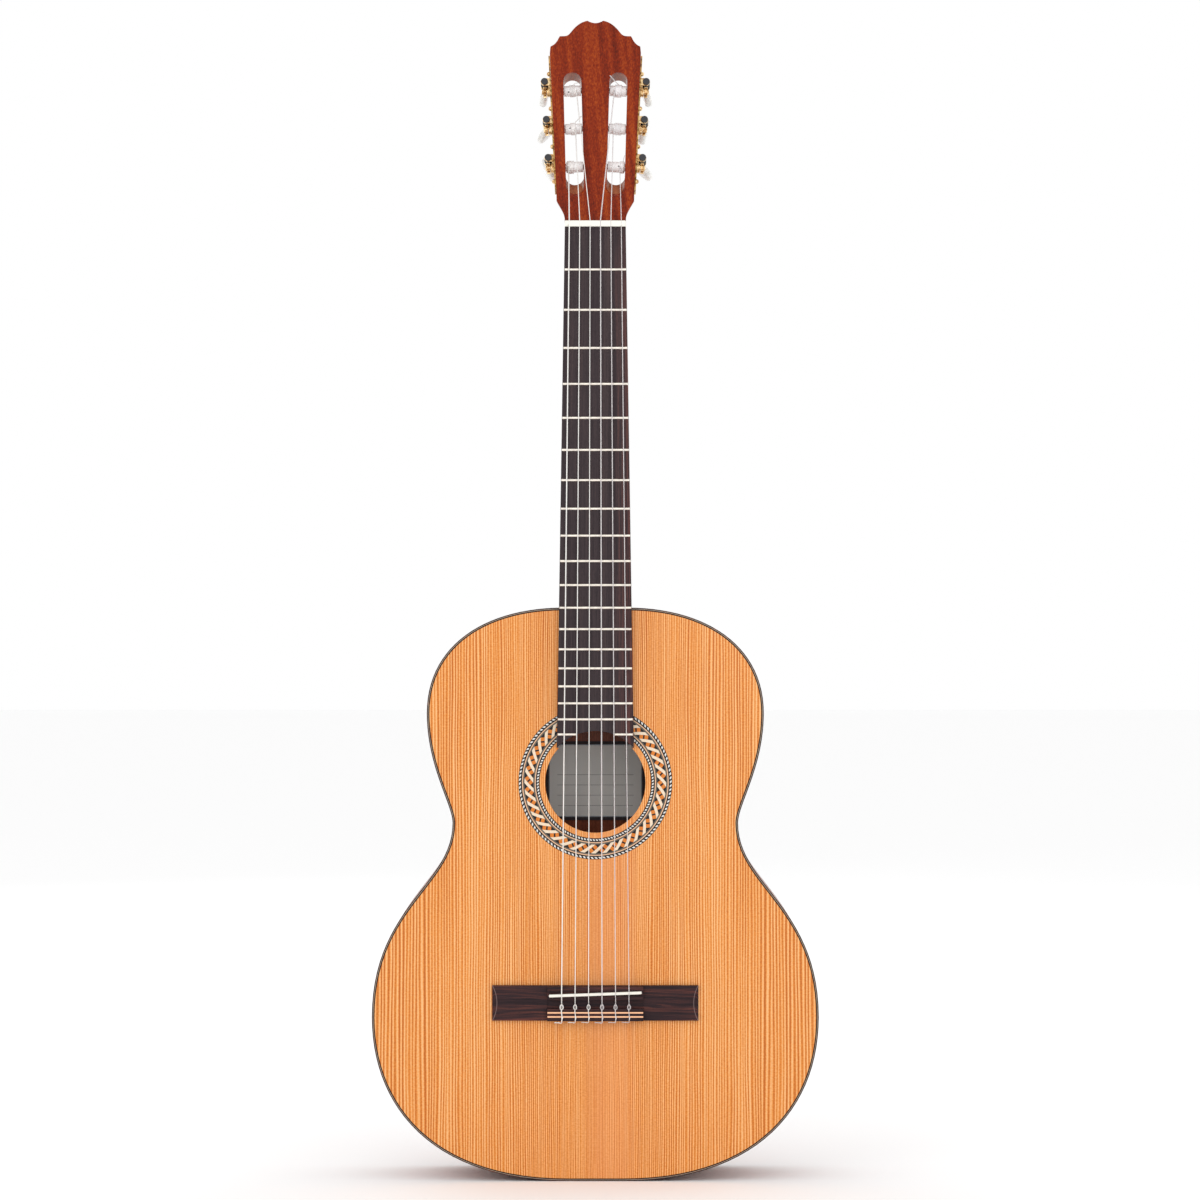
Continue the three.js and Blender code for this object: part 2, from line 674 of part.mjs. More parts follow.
const slots = [slotCutter(-1), slotCutter(1)];
const headWood = cut(plate(headShape(), VENEER + GAP, HEAD_THICK), ...slots, ...axleCutters());
add("headstock", headWood, mahogany, head);
add("head_veneer", cut(plate(headShape(), 0, VENEER), ...slots), mahogany, head);

// ---- tuners ----
const PITCH = Math.PI * MODULE;
const GEAR_R = (MODULE * TEETH) / 2;
const GEAR_THICK = 2.8;
const HUB_R = 4.5;
const HUB_IN = 1.5;
const SEAT_R = 1.5;
const TOOTH = PITCH / 2 - 2 * FLANK_GAP;
const TOOTH_TALL = 0.5; // above and below the pitch line
const ROOT_EXTRA = 0.15;
const EAR_Y = 5.3;
const EAR_THICK = 1.3;
const JOURNAL_R = 1.6;
const EAR_R = 3.1;
const WORM_HALF = 4.9; // half the thread's length
const CAP_R = 3.05;
const CAP_LONG = 1.55;
const PLATE_LOW = 36;
const PLATE_HIGH = 159;
const PLATE_BACK = 8;
const WINDOW = 3.6; // half the height of each worm's opening
const RUNNING = 0.15; // clearance round a turning shaft
const PRESSURE = 0.35; // the slant of the teeth, in radians
const BUTTON_AT = 13.5;
const BUTTON = new Vector3(3.25, 7.75, 11.5); // half thickness, half depth, half width

// The plate on the head's edge, its axle holes and worm openings cut, its ears standing out.
function tunerPlate() {
  const low = alongEdge(PLATE_LOW);
  const high = alongEdge(PLATE_HIGH);
  const base = box(GAP, -EAR_Y - EAR_THICK, low, PLATE_THICK, PLATE_BACK, high);
  const ears = [];
  const openings = [];
  for (const station of STATIONS) {
    const z = alongEdge(station);
    openings.push(rod("x", AXLE_R + 0.2, -1, 3, 12).translate(0, 0, z));
    const axis = z + WORM_UP;
    openings.push(box(-1, -EAR_Y, axis - WINDOW, 3, EAR_Y, axis + WINDOW));
    for (const y of [-EAR_Y - EAR_THICK, EAR_Y]) {
      ears.push(box(PLATE_THICK / 2, y, axis - EAR_R, WORM_OUT, y + EAR_THICK, axis + EAR_R));
      ears.push(rod("y", EAR_R, y, y + EAR_THICK, 12).translate(WORM_OUT, 0, axis));
    }
    const bore = rod("y", JOURNAL_R + RUNNING, -EAR_Y - 3, EAR_Y + 3, 10);
    openings.push(bore.translate(WORM_OUT, 0, axis));
  }
  return cut(joined(base, ...ears), ...openings);
}

// A stepped roller: gear seat, bearing, drum and end pin, turned about X.
function roller(station) {
  const { wall, slot } = rollerReach(station);
  const clear = 0.5;
  const steps = [
    [SEAT_R, WORM_OUT + GEAR_THICK / 2 + 0.3],
    [SEAT_R, HUB_IN - 0.1],
    [AXLE_R, HUB_IN - 0.1],
    [AXLE_R, -wall - clear],
    [DRUM_R, -wall - clear],
    [DRUM_R, -slot + clear],
    [PIN_R, -slot + clear],
    [PIN_R, -slot - PIN_LONG],
  ].map(([radius, x]) => new Vector2(radius, x));
  const profile = [new Vector2(0, steps.at(-1).y), ...steps.reverse()];
  profile.push(new Vector2(0, profile.at(-1).y));
  return new THREE.LatheGeometry(profile, 12).rotateZ(-Math.PI / 2);
}

// The gear and its hub: straight-sided teeth, the first one pointing up at the worm.
function gear() {
  const slant = TOOTH_TALL * Math.tan(PRESSURE);
  const root = GEAR_R - TOOTH_TALL - ROOT_EXTRA;
  const tip = GEAR_R + TOOTH_TALL;
  const points = [];
  for (let tooth = 0; tooth < TEETH; tooth++) {
    const turn = (2 * Math.PI * tooth) / TEETH;
    const corners = [
      [-TOOTH / 2 - slant, root],
      [-TOOTH / 2 + slant, tip],
      [TOOTH / 2 - slant, tip],
      [TOOTH / 2 + slant, root],
    ];
    for (const [across, up] of corners.reverse()) {
      const p = new Vector2(across, up).rotateAround(new Vector2(), turn);
      points.push(p);
    }
  }
  const shape = new Shape(points);
  const made = new THREE.ExtrudeGeometry(shape, { depth: GEAR_THICK, bevelEnabled: false, steps: 1 });
  // The extrusion's axes become Y, Z and X, and the teeth take the worm's lead.
  const lead = PITCH / (2 * Math.PI * WORM_R);
  const at = made.attributes.position;
  for (let i = 0; i < at.count; i++) {
    const out = at.getZ(i) - GEAR_THICK / 2;
    const p = new Vector2(at.getX(i), at.getY(i)).rotateAround(new Vector2(), (out * lead) / GEAR_R);
    at.setXYZ(i, WORM_OUT + out, p.x, p.y);
  }
  const hub = rod("x", HUB_R, HUB_IN, WORM_OUT - GEAR_THICK / 2 - 0.4, 14);
  const neck = rod("x", 3, HUB_IN + 1, WORM_OUT, 14);
  return cut(joined(made, hub, neck), rod("x", SEAT_R + RUNNING, -5, 15, 8));
}

// The worm: a helical thread of constant pitch on a shaft along Y.
function worm() {
  const around = 10;
  const half = WORM_HALF;
  const root = WORM_R - TOOTH_TALL - ROOT_EXTRA;
  const slant = TOOTH_TALL * Math.tan(PRESSURE);
  const thread = [
    [-TOOTH / 2 - slant, root],
    [-TOOTH / 2 + slant, WORM_R + TOOTH_TALL],
    [TOOTH / 2 - slant, WORM_R + TOOTH_TALL],
    [TOOTH / 2 + slant, root],
  ];
  const turns = Math.ceil(half / PITCH) + 1;
  const columns = Array.from({ length: around + 1 }, (_, column) => {
    const turn = (2 * Math.PI * column) / around;
    const on = (r, y) => new Vector3(r * Math.sin(turn), y, r * Math.cos(turn));
    const points = [on(0, -half), on(root, -half)];
    for (let pass = -turns; pass <= turns; pass++) {
      for (const [along, radius] of thread) {
        const y = along + PITCH * (pass + column / around);
        const r = Math.abs(y) < half ? radius : root;
        points.push(on(r, THREE.MathUtils.clamp(y, -half, half)));
      }
    }
    points.push(on(root, half), on(0, half));
    return points;
  });
  // The seam joins each thread turn to the next one up.
  const first = columns[0];
  const last = columns[around];
  const index = [];
  const all = columns.slice(0, around).flat();
  const rows = first.length;
  const where = (column, row) => {
    if (column < around) return column * rows + row;
    const p = last[row];
    return first.findIndex((q) => q.distanceTo(p) < 1e-6);
  };
  for (let column = 0; column < around; column++) {
    for (let row = 0; row + 1 < rows; row++) {
      const a = where(column, row);
      const b = where(column + 1, row);
      const c = where(column + 1, row + 1);
      const d = where(column, row + 1);
      index.push(a, b, c, a, c, d);
    }
  }
  const made = new THREE.BufferGeometry().setFromPoints(all).setIndex(index);
  const capBack = -EAR_Y - EAR_THICK - RUNNING;
  const front = rod("y", JOURNAL_R, capBack - GAP, 1 - half, 10);
  const cap = rod("y", CAP_R, capBack - CAP_LONG, capBack, 12);
  const rear = rod("y", JOURNAL_R, half - 1, BUTTON_AT - GAP, 10);
  return joined(made, front, cap, rear);
}

function button() {
  const oval = new THREE.SphereGeometry(1, 12, 8);
  const at = oval.attributes.position;
  const full = (v) => Math.sign(v) * Math.abs(v) ** 0.75;
  for (let i = 0; i < at.count; i++) {
    at.setXYZ(i, full(at.getX(i)) * BUTTON.x, at.getY(i) * BUTTON.y, at.getZ(i) * BUTTON.z);
  }
  oval.translate(0, BUTTON_AT + 1.5 + BUTTON.y, 0);
  return joined(rod("y", 2.6, BUTTON_AT, BUTTON_AT + 4, 8), oval);
}

// How far each button stands turned from in line with the head's edge, top to bottom, in degrees.
const BUTTON_TURNS = { bass: [-15, -40, 25], treble: [-18, 10, -45] };

for (const [key, edge] of Object.entries(edges)) {
  add(`tuner_plate_${key}`, tunerPlate(), gold, edge);
  STATIONS.forEach((station, i) => {
    const number = i + 1;
    const z = alongEdge(station);
    add(`string_roller_${key}_${number}`, roller(station), nylon, edge).position.z = z;
    add(`roller_gear_${key}_${number}`, gear(), gold, edge).position.z = z;
    const screw = add(`worm_shaft_${key}_${number}`, worm(), blackSteel, edge);
    screw.position.set(WORM_OUT, 0, z + WORM_UP);
    const knob = add(`tuner_button_${key}_${number}`, button(), pearl, edge);
    knob.position.copy(screw.position);
    knob.rotation.y = THREE.MathUtils.degToRad(BUTTON_TURNS[key][i]);
  });
}

// ---- strings ----
const STRING_NAMES = ["E6", "A5", "D4", "G3", "B2", "E1"];
const ROLLER_OF = [2, 1, 0, 0, 1, 2]; // outer strings go to the lowest rollers
const ON_ROLLER = [23, 17.2, 16.5, 16.5, 15.5, 21];

// A round string through points, each ring square to the bend.
function string(points, radius) {
  return sweep(regular(6, radius), points.map((_, i) => i), (p, i) => {
    const before = points[Math.max(i - 1, 0)];
    const after = points[Math.min(i + 1, points.length - 1)];
    const ahead = points[i].clone().sub(before).normalize().add(after.clone().sub(points[i]).normalize());
    const up = ahead.normalize().clone().cross(new Vector3(1, 0, 0)).normalize();
    return points[i].clone().addScaledVector(new Vector3(1, 0, 0), p.x).addScaledVector(up, p.y);
  });
}

head.updateMatrix();
STRING_NAMES.forEach((name, i) => {
  const radius = STRING_RADII[i];
  const hand = i < 3 ? -1 : 1;
  const nutX = spread(i, AT_NUT);
  const saddleX = spread(i, AT_SADDLE);
  const lift = radius + GAP;
  const wound = new Vector3(hand * ON_ROLLER[i], AXLE_DEEP - DRUM_R - lift, STATIONS[ROLLER_OF[i]]);
  const tieFront = BRIDGE_LOW + TIE_DEEP + lift + 0.2;
  const tieBack = BRIDGE_LOW - lift - 0.2;
  const over = BRIDGE_TOP - lift - 0.1;
  const points = [
    wound.applyMatrix4(head.matrix),
    new Vector3(nutX, NUT_TOP + 0.6, NUT_Z + NUT_THICK),
    new Vector3(nutX, NUT_TOP + 0.3, NUT_Z),
    new Vector3(saddleX, SADDLE_TOP - lift, saddleZ(saddleX) + SADDLE_THICK / 2),
    new Vector3(saddleX, SADDLE_TOP - lift, saddleZ(saddleX) - SADDLE_THICK / 2 - 0.3),
    new Vector3(saddleX, HOLE_Y, tieFront),
    new Vector3(saddleX, HOLE_Y, tieBack),
    new Vector3(saddleX, over, tieBack),
    new Vector3(saddleX, over, tieFront - 1),
  ];
  add(`string_${name}`, string(points, radius), nylon);
});

export default group;
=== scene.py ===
"""The classical guitar's looks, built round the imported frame. Metres; the strings face -Y, the neck is up."""

import math

import bmesh
import bpy
from mathutils import Matrix, Vector


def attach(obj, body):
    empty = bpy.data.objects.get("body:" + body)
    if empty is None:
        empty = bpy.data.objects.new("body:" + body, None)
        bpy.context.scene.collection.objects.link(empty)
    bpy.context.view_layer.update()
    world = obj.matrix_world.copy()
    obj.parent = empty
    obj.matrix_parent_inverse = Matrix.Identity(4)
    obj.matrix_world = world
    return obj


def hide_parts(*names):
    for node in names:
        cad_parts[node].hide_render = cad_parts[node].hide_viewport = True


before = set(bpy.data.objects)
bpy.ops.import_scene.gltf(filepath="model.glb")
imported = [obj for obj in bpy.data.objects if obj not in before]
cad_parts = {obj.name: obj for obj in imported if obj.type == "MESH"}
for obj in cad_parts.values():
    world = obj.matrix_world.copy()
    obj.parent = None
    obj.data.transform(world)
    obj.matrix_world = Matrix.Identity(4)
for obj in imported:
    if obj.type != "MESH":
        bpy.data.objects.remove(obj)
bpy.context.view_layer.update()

MM = 0.001


def mm(*sizes):
    """Millimetres as metres: one number, or a tuple of them."""
    scaled = tuple(size * MM for size in sizes)
    return scaled if len(scaled) > 1 else scaled[0]


# ---- driving dimensions, in millimetres ----
SCALE = 650
BODY_LENGTH = 490
NUT_Z = 815
FRETS = 19
TOP_Y = -48
TOP_THICK = 2.6
RIM_Y = 46
TAIL_DEEPER = 4
BACK_THICK = 2.6
BACK_ARCH = 4
SIDE_THICK = 3
BINDING = 1.8
BINDING_TALL = 5.6
GRAFT = 9
BACK_MIDDLE = 250
HOLE_Z = NUT_Z - 474.4
LABEL_Z = 338
LABEL_HALF = 43.5
LABEL_TALL = 34.5
HOLE_R = 42.9
ROSETTE_IN = 47.6
ROSETTE_OUT = 65.7
MOUTH_R = 44.2
BOARD_CORNER = 369
BOARD_THICK = 6.5
BOARD_AT_NUT = 26
BOARD_AT_BODY = 31
NUT_THICK = 5.2
NUT_TALL = 9.4
BRIDGE_LOW = 137.5
BRIDGE_HIGH = 167.5
BRIDGE_HALF = 88
CENTRE_HALF = 41
BRIDGE_TALL = 8.8
FACET_R = 31
FACET_IN = 4
TIE_DEEP = 10.5
TROUGH_DEEP = 7.5
STRING_RADII = [0.54, 0.42, 0.37, 0.51, 0.41, 0.36]
AT_NUT = 22.15
AT_SADDLE = 28.7
TILT = math.radians(15)
HEAD_LONG = 190
VENEER = 2
HEAD_THICK = 19
EDGE_LOW = 26
EDGE_HALF = 33
EDGE_SLOPE = 6.3 / 130
LEAN = math.atan(EDGE_SLOPE)
SLOT_R = 7.75
SLOT_LOW = 38
SLOT_HIGH = 142
SLOT_IN = 17.3
SLOT_SPREAD = 2.8
RAMP_LOW = 28.5
THROUGH_LOW = 42.5
AXLE_DEEP = 10.5
STATIONS = [128, 93, 58]
WORM_UP = 7.2
WORM_OUT = 5.7
DRUM_R = 4.6

# ---- camera, floor and light ----
EYE = Vector((0.004, -3.555, 0.4966))
FIELD_AT_FRETS = 1.0235


HANDS = {"bass": -1, "treble": 1}
LIGHTS = (
    ("key", (-1.6, -3.0, 2.0), 1.8, 13),
    ("front", (0.7, -3.6, 1.0), 1.4, 9),
    ("behind_left", (-1.5, 2.6, 1.7), 2.0, 10),
    ("behind_right", (2.2, 1.8, 1.2), 2.0, 8),
)


def set_stage():
    bpy.ops.object.camera_add(location=EYE, rotation=(math.pi / 2, 0, 0))
    camera = bpy.context.object
    distance = mm(TOP_Y - BOARD_THICK) - EYE.y
    camera.data.lens = camera.data.sensor_width * distance / FIELD_AT_FRETS
    bpy.context.scene.camera = camera
    bpy.ops.mesh.primitive_plane_add(size=30)
    floor = bpy.context.object
    floor.name = "floor"
    white = bpy.data.materials.new("pale_floor")
    white.use_nodes = True
    shader = white.node_tree.nodes["Principled BSDF"]
    shader.inputs["Base Color"].default_value = (0.97, 0.97, 0.97, 1)
    shader.inputs["Roughness"].default_value = 0.9
    shader.inputs["Specular IOR Level"].default_value = 0.1
    floor.data.materials.append(white)
    world = bpy.data.worlds.new("studio")
    bpy.context.scene.world = world
    world.use_nodes = True
    room = world.node_tree.nodes["Background"]
    room.inputs["Color"].default_value = (1, 1, 1, 1)
    room.inputs["Strength"].default_value = 1.0
    for name, place, size, power in LIGHTS:
        bpy.ops.object.light_add(type="AREA", location=place)
        light = bpy.context.object
        light.name = name
        light.data.size = size
        light.data.energy = power
        light.rotation_euler = (Vector((0, 0, 0.5)) - Vector(place)).to_track_quat("-Z", "Y").to_euler()
    bpy.context.scene.view_settings.view_transform = "Standard"


# ---- shader maths ----
class Value:
    """A shader socket that takes part in Python's own sums."""

    def __init__(self, finish, socket):
        self.finish = finish
        self.socket = socket

    def _sum(self, operation, first, second):
        return self.finish.node("ShaderNodeMath", {"operation": operation}, {0: first, 1: second})

    def __add__(self, other):
        return self._sum("ADD", self, other)

    def __radd__(self, other):
        return self._sum("ADD", other, self)

    def __sub__(self, other):
        return self._sum("SUBTRACT", self, other)

    def __rsub__(self, other):
        return self._sum("SUBTRACT", other, self)

    def __mul__(self, other):
        return self._sum("MULTIPLY", self, other)

    def __rmul__(self, other):
        return self._sum("MULTIPLY", other, self)

    def __truediv__(self, other):
        return self._sum("DIVIDE", self, other)

    def __gt__(self, other):
        return self._sum("GREATER_THAN", self, other)

    def __lt__(self, other):
        return self._sum("LESS_THAN", self, other)

    def __abs__(self):
        return self._sum("ABSOLUTE", self, 0)

    def fraction(self):
        return self._sum("FRACT", self, 0)

    def sine(self):
        return self._sum("SINE", self, 0)

    def power(self, exponent):
        return self._sum("POWER", self, exponent)


class Finish:
    """A procedural material on one principled shader."""

    def __init__(self, name, slot=None, **constants):
        self.material = bpy.data.materials.new(name)
        self.material.use_nodes = True
        self.nodes = self.material.node_tree.nodes
        self.links = self.material.node_tree.links
        self.shader = self.nodes["Principled BSDF"]
        self.slot = slot
        for socket, amount in constants.items():
            self.shader.inputs[socket.replace("_", " ")].default_value = amount

    def node(self, kind, settings=None, sockets=None, out=0):
        made = self.nodes.new(kind)
        for name, setting in (settings or {}).items():
            if name == "stops":
                fill_ramp(made.color_ramp, setting)
            else:
                setattr(made, name, setting)
        for key, given in (sockets or {}).items():
            if isinstance(given, Value):
                self.links.new(given.socket, made.inputs[key])
            else:
                made.inputs[key].default_value = given
        return Value(self, made.outputs[out])

    def set(self, socket, value):
        self.links.new(value.socket, self.shader.inputs[socket])

    def place(self):
        """The object coordinates, as X, Y and Z in millimetres."""
        coordinates = self.node("ShaderNodeTexCoord", out="Object")
        split = self.node("ShaderNodeSeparateXYZ", sockets={0: coordinates})
        outputs = split.socket.node.outputs
        return [Value(self, outputs[axis]) * 1000 for axis in range(3)]

    def join(self, x, y, z):
        return self.node("ShaderNodeCombineXYZ", sockets={0: x, 1: y, 2: z})

    def noise(self, x, y, z, scale=1, detail=2, roughness=0.5):
        sockets = {"Vector": self.join(x, y, z), "Scale": scale, "Detail": detail, "Roughness": roughness}
        return self.node("ShaderNodeTexNoise", sockets=sockets)

    def ramp(self, factor, *stops):
        return self.node("ShaderNodeValToRGB", {"stops": stops}, {"Fac": factor})

    def mix(self, factor, first, second, blend="MIX"):
        sockets = {"Factor": factor, "A": first, "B": second}
        made = self.nodes.new("ShaderNodeMix")
        made.data_type = "RGBA"
        made.blend_type = blend
        inputs = {"Factor": made.inputs[0], "A": made.inputs[6], "B": made.inputs[7]}
        for key, given in sockets.items():
            if isinstance(given, Value):
                self.links.new(given.socket, inputs[key])
            else:
                inputs[key].default_value = given
        return Value(self, made.outputs[2])

    def bump(self, height, depth, strength=1.0):
        sockets = {"Strength": strength, "Distance": depth, "Height": height}
        self.set("Normal", self.node("ShaderNodeBump", sockets=sockets))


def fill_ramp(ramp, stops):
    while len(ramp.elements) < len(stops):
        ramp.elements.new(1)
    for element, (position, colour) in zip(ramp.elements, stops):
        element.position = position
        element.color = colour


def tint(red, green, blue):
    """A screen colour as the linear colour that a shader takes."""
    def linear(part):
        part /= 255
        return part / 12.92 if part <= 0.04045 else ((part + 0.055) / 1.055) ** 2.4

    return (linear(red), linear(green), linear(blue), 1)


def grained(name, slot, dark, middle, light, rib=False, pores=0.4, ribbon=6.0, figure=1.0, **constants):
    """A lacquered hardwood: broad ribbon stripes, fine lines and short dark pores along the grain."""
    finish = Finish(name, slot, **constants)
    x, y, z = finish.place()
    # A bent rib's grain follows it round the body; any other piece's grain runs up it.
    across, aside = (y, x) if rib else (x, y)
    aside_run = aside * (1 / 260 if rib else 1 / 40)
    broad = finish.noise(across / ribbon + aside * (0.0 if rib else 0.05), z / 260, aside_run, 1, 3)
    fine = finish.noise(across * 1.3, z / 34, aside * (1 / 34 if rib else 1.3), 1, 4, 0.65)
    figuring = finish.noise(across / 1.3, z / 2.4, aside / (2.4 if rib else 1.3), 1, 2, 0.6)
    tone = broad * 0.52 + fine * 0.42 + (figuring - 0.5) * 0.22 * figure
    colour = finish.ramp(tone, (0.3, dark), (0.47, middle), (0.66, light))
    flecks = finish.noise(across * 3.2, z / 3.5, aside * (1 / 3.5 if rib else 3.2), 1, 1)
    pits = finish.node("ShaderNodeMapRange", {"clamp": True}, {0: flecks, 1: 0.6, 2: 0.72})
    deep = tuple(part * 0.42 for part in dark[:3]) + (1,)
    finish.set("Base Color", finish.mix(pits * pores, colour, deep))
    finish.set("Roughness", 0.22 + fine * 0.14 + pits * 0.12)
    finish.bump(fine * 0.3 - pits, mm(0.05), 0.35)
    return finish


def cedar_top():
    """Bookmatched cedar: growth lines close together at the centre seam and wider towards the edges."""
    finish = Finish("cedar", "cedar_top", Coat_Weight=0.25, Coat_Roughness=0.2, Specular_IOR_Level=0.3)
    x, y, z = finish.place()
    half = abs(x + 0.4)
    sway = finish.noise(half / 40, z / 260, 0, 1, 2)
    lane = half + (sway - 0.5) * 7
    crowding = finish.node("ShaderNodeMath", {"operation": "LOGARITHM"}, {0: 1 + lane * 0.0085, 1: math.e})
    ring_count = crowding / 0.0115
    wander = finish.noise(ring_count * 0.35, z / 500, 3, 1, 2)
    lines = ((ring_count * 1.05 + wander * 2.2) * (2 * math.pi)).sine()
    strength = finish.noise(ring_count * 0.6, z / 300, 8, 1, 1)
    fine = finish.noise(half * 1.6, z / 28, 1, 1, 3, 0.7)
    broad = finish.noise(half / 22, z / 380, 2, 1, 2)
    # Rays cross the grain as a fine silk.
    silk = finish.noise(half / 2.2, z * 0.75, 5, 1, 3, 0.75)
    tone = lines * (strength * 0.5) + fine * 0.34 + broad * 0.36 + (silk - 0.5) * 0.62 + 0.14
    colour = finish.ramp(
        tone,
        (0.2, tint(188, 96, 10)),
        (0.38, tint(217, 128, 38)),
        (0.54, tint(231, 152, 74)),
        (0.78, tint(243, 184, 122)),
    )
    # The two halves meet in a slightly rosier middle.
    seam = finish.node("ShaderNodeMapRange", {"clamp": True}, {0: abs(x - 14), 1: 10, 2: 26, 3: 1, 4: 0})
    finish.set("Base Color", finish.mix(seam * 0.3, colour, tint(230, 146, 90)))
    finish.set("Roughness", 0.34 + fine * 0.12)
    finish.bump(lines * 0.4 + fine, mm(0.03), 0.25)
    return finish


def rosette_mosaic():
    """Rope, lines, braid, lines and rope, each worked out from the distance and angle round the hole."""
    finish = Finish("rosette_mosaic", "rosette_inlay", Specular_IOR_Level=0.3)
    x, y, z = finish.place()
    up = z - HOLE_Z
    distance = (x * x + up * up).power(0.5)
    angle = finish.node("ShaderNodeMath", {"operation": "ARCTAN2"}, {0: up, 1: x})
    clockwise = angle * (-180 / math.pi) + 720
    black = tint(20, 12, 12)
    # The braid: cream strips lean one way, and two orange bars cross each gap between them.
    part = (distance - 53.1) / 7.4
    place = ((clockwise / 9) - part * 0.95).fraction()
    between = (place - 0.44) / 0.56
    slant = part + between * 0.335 - 0.1675
    middle = abs(slant - 0.5)
    orange_grain = finish.noise(distance * 1.6, clockwise * 0.5, 0, 1, 3, 0.7)
    orange = finish.ramp(orange_grain, (0.3, tint(190, 92, 22)), (0.62, tint(226, 136, 48)))
    barred = finish.mix((middle < 0.33) * (middle > 0.06), black, orange)
    shade = finish.noise(x * 0.6, y, z * 0.6, 1, 3)
    pale = finish.mix(shade, tint(222, 194, 162), tint(246, 232, 210))
    strip = (place > 0.015) * (place < 0.425)
    outlined = finish.mix(place < 0.44, barred, tint(70, 44, 34))
    braid = finish.mix(strip, outlined, pale)
    # The lines on each side of it, counted from the middle of the braid.
    away = abs(distance - 56.8)
    lines = finish.ramp(
        (away - 3.75) / 2.65,
        (0.0, tint(44, 40, 38)),
        (0.16, tint(108, 104, 94)),
        (0.36, tint(86, 82, 74)),
        (0.44, tint(34, 28, 28)),
        (0.48, tint(226, 178, 140)),
        (0.76, tint(234, 192, 156)),
        (0.8, tint(18, 12, 14)),
    )
    # The two ropes: slanting white dashes on black.
    width = (away - 6.4) / 2.5
    dash = ((clockwise / 3) + (distance / 2.5) * 0.6).fraction()
    inside = 1 - abs(width - 0.5) * 2
    ropes = finish.mix((dash < 0.52) * (inside > 0.4), black, tint(226, 226, 222))
    lined = finish.mix(away < 6.4, ropes, lines)
    finish.set("Base Color", finish.mix(away < 3.75, lined, braid))
    finish.set("Roughness", 0.34 + shade * 0.08)
    return finish


def plain(name, slot, colour, variation=0.12, size=6.0, rough=0.4, spread=0.1, bump=0.02, **constants):
    """An even finish with slight cloudy variation and a fine surface."""
    finish = Finish(name, slot, **constants)
    x, y, z = finish.place()
    cloud = finish.noise(x / size, y / size, z / size, 1, 3, 0.6)
    dark = tuple(part * (1 - variation) for part in colour[:3]) + (1,)
    light = tuple(min(part * (1 + variation), 1) for part in colour[:3]) + (1,)
    finish.set("Base Color", finish.mix(cloud, dark, light))
    fine = finish.noise(x * 2.2, y * 2.2, z * 2.2, 1, 2)
    finish.set("Roughness", rough - spread / 2 + cloud * spread)
    finish.bump(fine, mm(bump), 0.3)
    return finish


def fingerboard_wood():
    finish = Finish("fingerboard_wood", "fingerboard_ebony", Specular_IOR_Level=0.15)
    x, y, z = finish.place()
    broad = finish.noise(x / 7, y / 7, z / 420, 1, 3)
    fine = finish.noise(x * 1.1, y, z / 55, 1, 4, 0.7)
    colour = finish.ramp(
        broad * 0.5 + fine * 0.5,
        (0.34, tint(38, 30, 33)),
        (0.5, tint(58, 48, 51)),
        (0.66, tint(76, 62, 62)),
    )
    # Redder streaks run along the treble edge.
    edge = finish.node("ShaderNodeMapRange", {"clamp": True}, {0: x + (fine - 0.5) * 14, 1: 15, 2: 30})
    streaks = finish.ramp(fine, (0.42, tint(46, 32, 34)), (0.62, tint(112, 62, 54)))
    flecks = finish.noise(x * 3.5, y, z / 3, 1, 1)
    pits = finish.node("ShaderNodeMapRange", {"clamp": True}, {0: flecks, 1: 0.6, 2: 0.7})
    warm = finish.mix(edge * 0.6, colour, streaks)
    finish.set("Base Color", finish.mix(pits * 0.5, warm, tint(28, 20, 22)))
    finish.set("Roughness", 0.42 + fine * 0.15)
    finish.bump(fine * 0.3 - pits, mm(0.05), 0.3)
    return finish


def rosewood(name, painted_tip_highlight=False):
    finish = Finish(name, "rosewood", Specular_IOR_Level=0.15)
    x, y, z = finish.place()
    wave = finish.noise(x / 60, y / 9, z / 9, 1, 2)
    lane = z + y * 0.6 + (wave - 0.5) * 7
    broad = finish.noise(x / 130, lane / 3.4, 0, 1, 3, 0.6)
    fine = finish.noise(x / 26, lane * 1.9, 2, 1, 3, 0.6)
    colour = finish.ramp(
        broad * 0.68 + fine * 0.32,
        (0.33, tint(24, 17, 21)),
        (0.49, tint(50, 33, 36)),
        (0.58, tint(80, 46, 42)),
        (0.7, tint(122, 68, 56)),
    )
    flecks = finish.noise(x / 3, lane * 3.4, 2, 1, 1)
    pits = finish.node("ShaderNodeMapRange", {"clamp": True}, {0: flecks, 1: 0.6, 2: 0.7})
    shown = finish.mix(pits * 0.5, colour, tint(20, 14, 16))
    if painted_tip_highlight:
        # The edge of each tip's facet carries a painted highlight: a pale line where the crease catches light.
        along = abs(x) - (BRIDGE_HALF + FACET_R - FACET_IN)
        up = z - (BRIDGE_LOW + BRIDGE_HIGH) / 2
        distance = (along * along + up * up).power(0.5)
        ends = {0: abs(distance - FACET_R), 1: 0.1, 2: 0.45, 3: 1, 4: 0}
        edge = finish.node("ShaderNodeMapRange", {"clamp": True}, ends)
        shown = finish.mix(edge * 0.5, shown, tint(150, 128, 126))
    finish.set("Base Color", shown)
    finish.set("Roughness", 0.4 + fine * 0.15)
    finish.bump(fine * 0.3 - pits, mm(0.06), 0.35)
    return finish


def metal(name, slot, painted_dark_reflection, colour, rough):
    finish = Finish(name, slot, Metallic=1.0)
    x, y, z = finish.place()
    cloud = finish.noise(x / 3, y / 3, z / 3, 1, 3, 0.6)
    scratch = finish.noise(x * 4, y * 4, z / 2, 1, 2)
    # The cloudy darker patches in the colour are painted dark reflections.
    finish.set("Base Color", finish.ramp(cloud, (0.38, painted_dark_reflection), (0.58, colour)))
    finish.set("Roughness", rough + scratch * 0.12 + cloud * 0.06)
    finish.bump(scratch, mm(0.01), 0.2)
    return finish


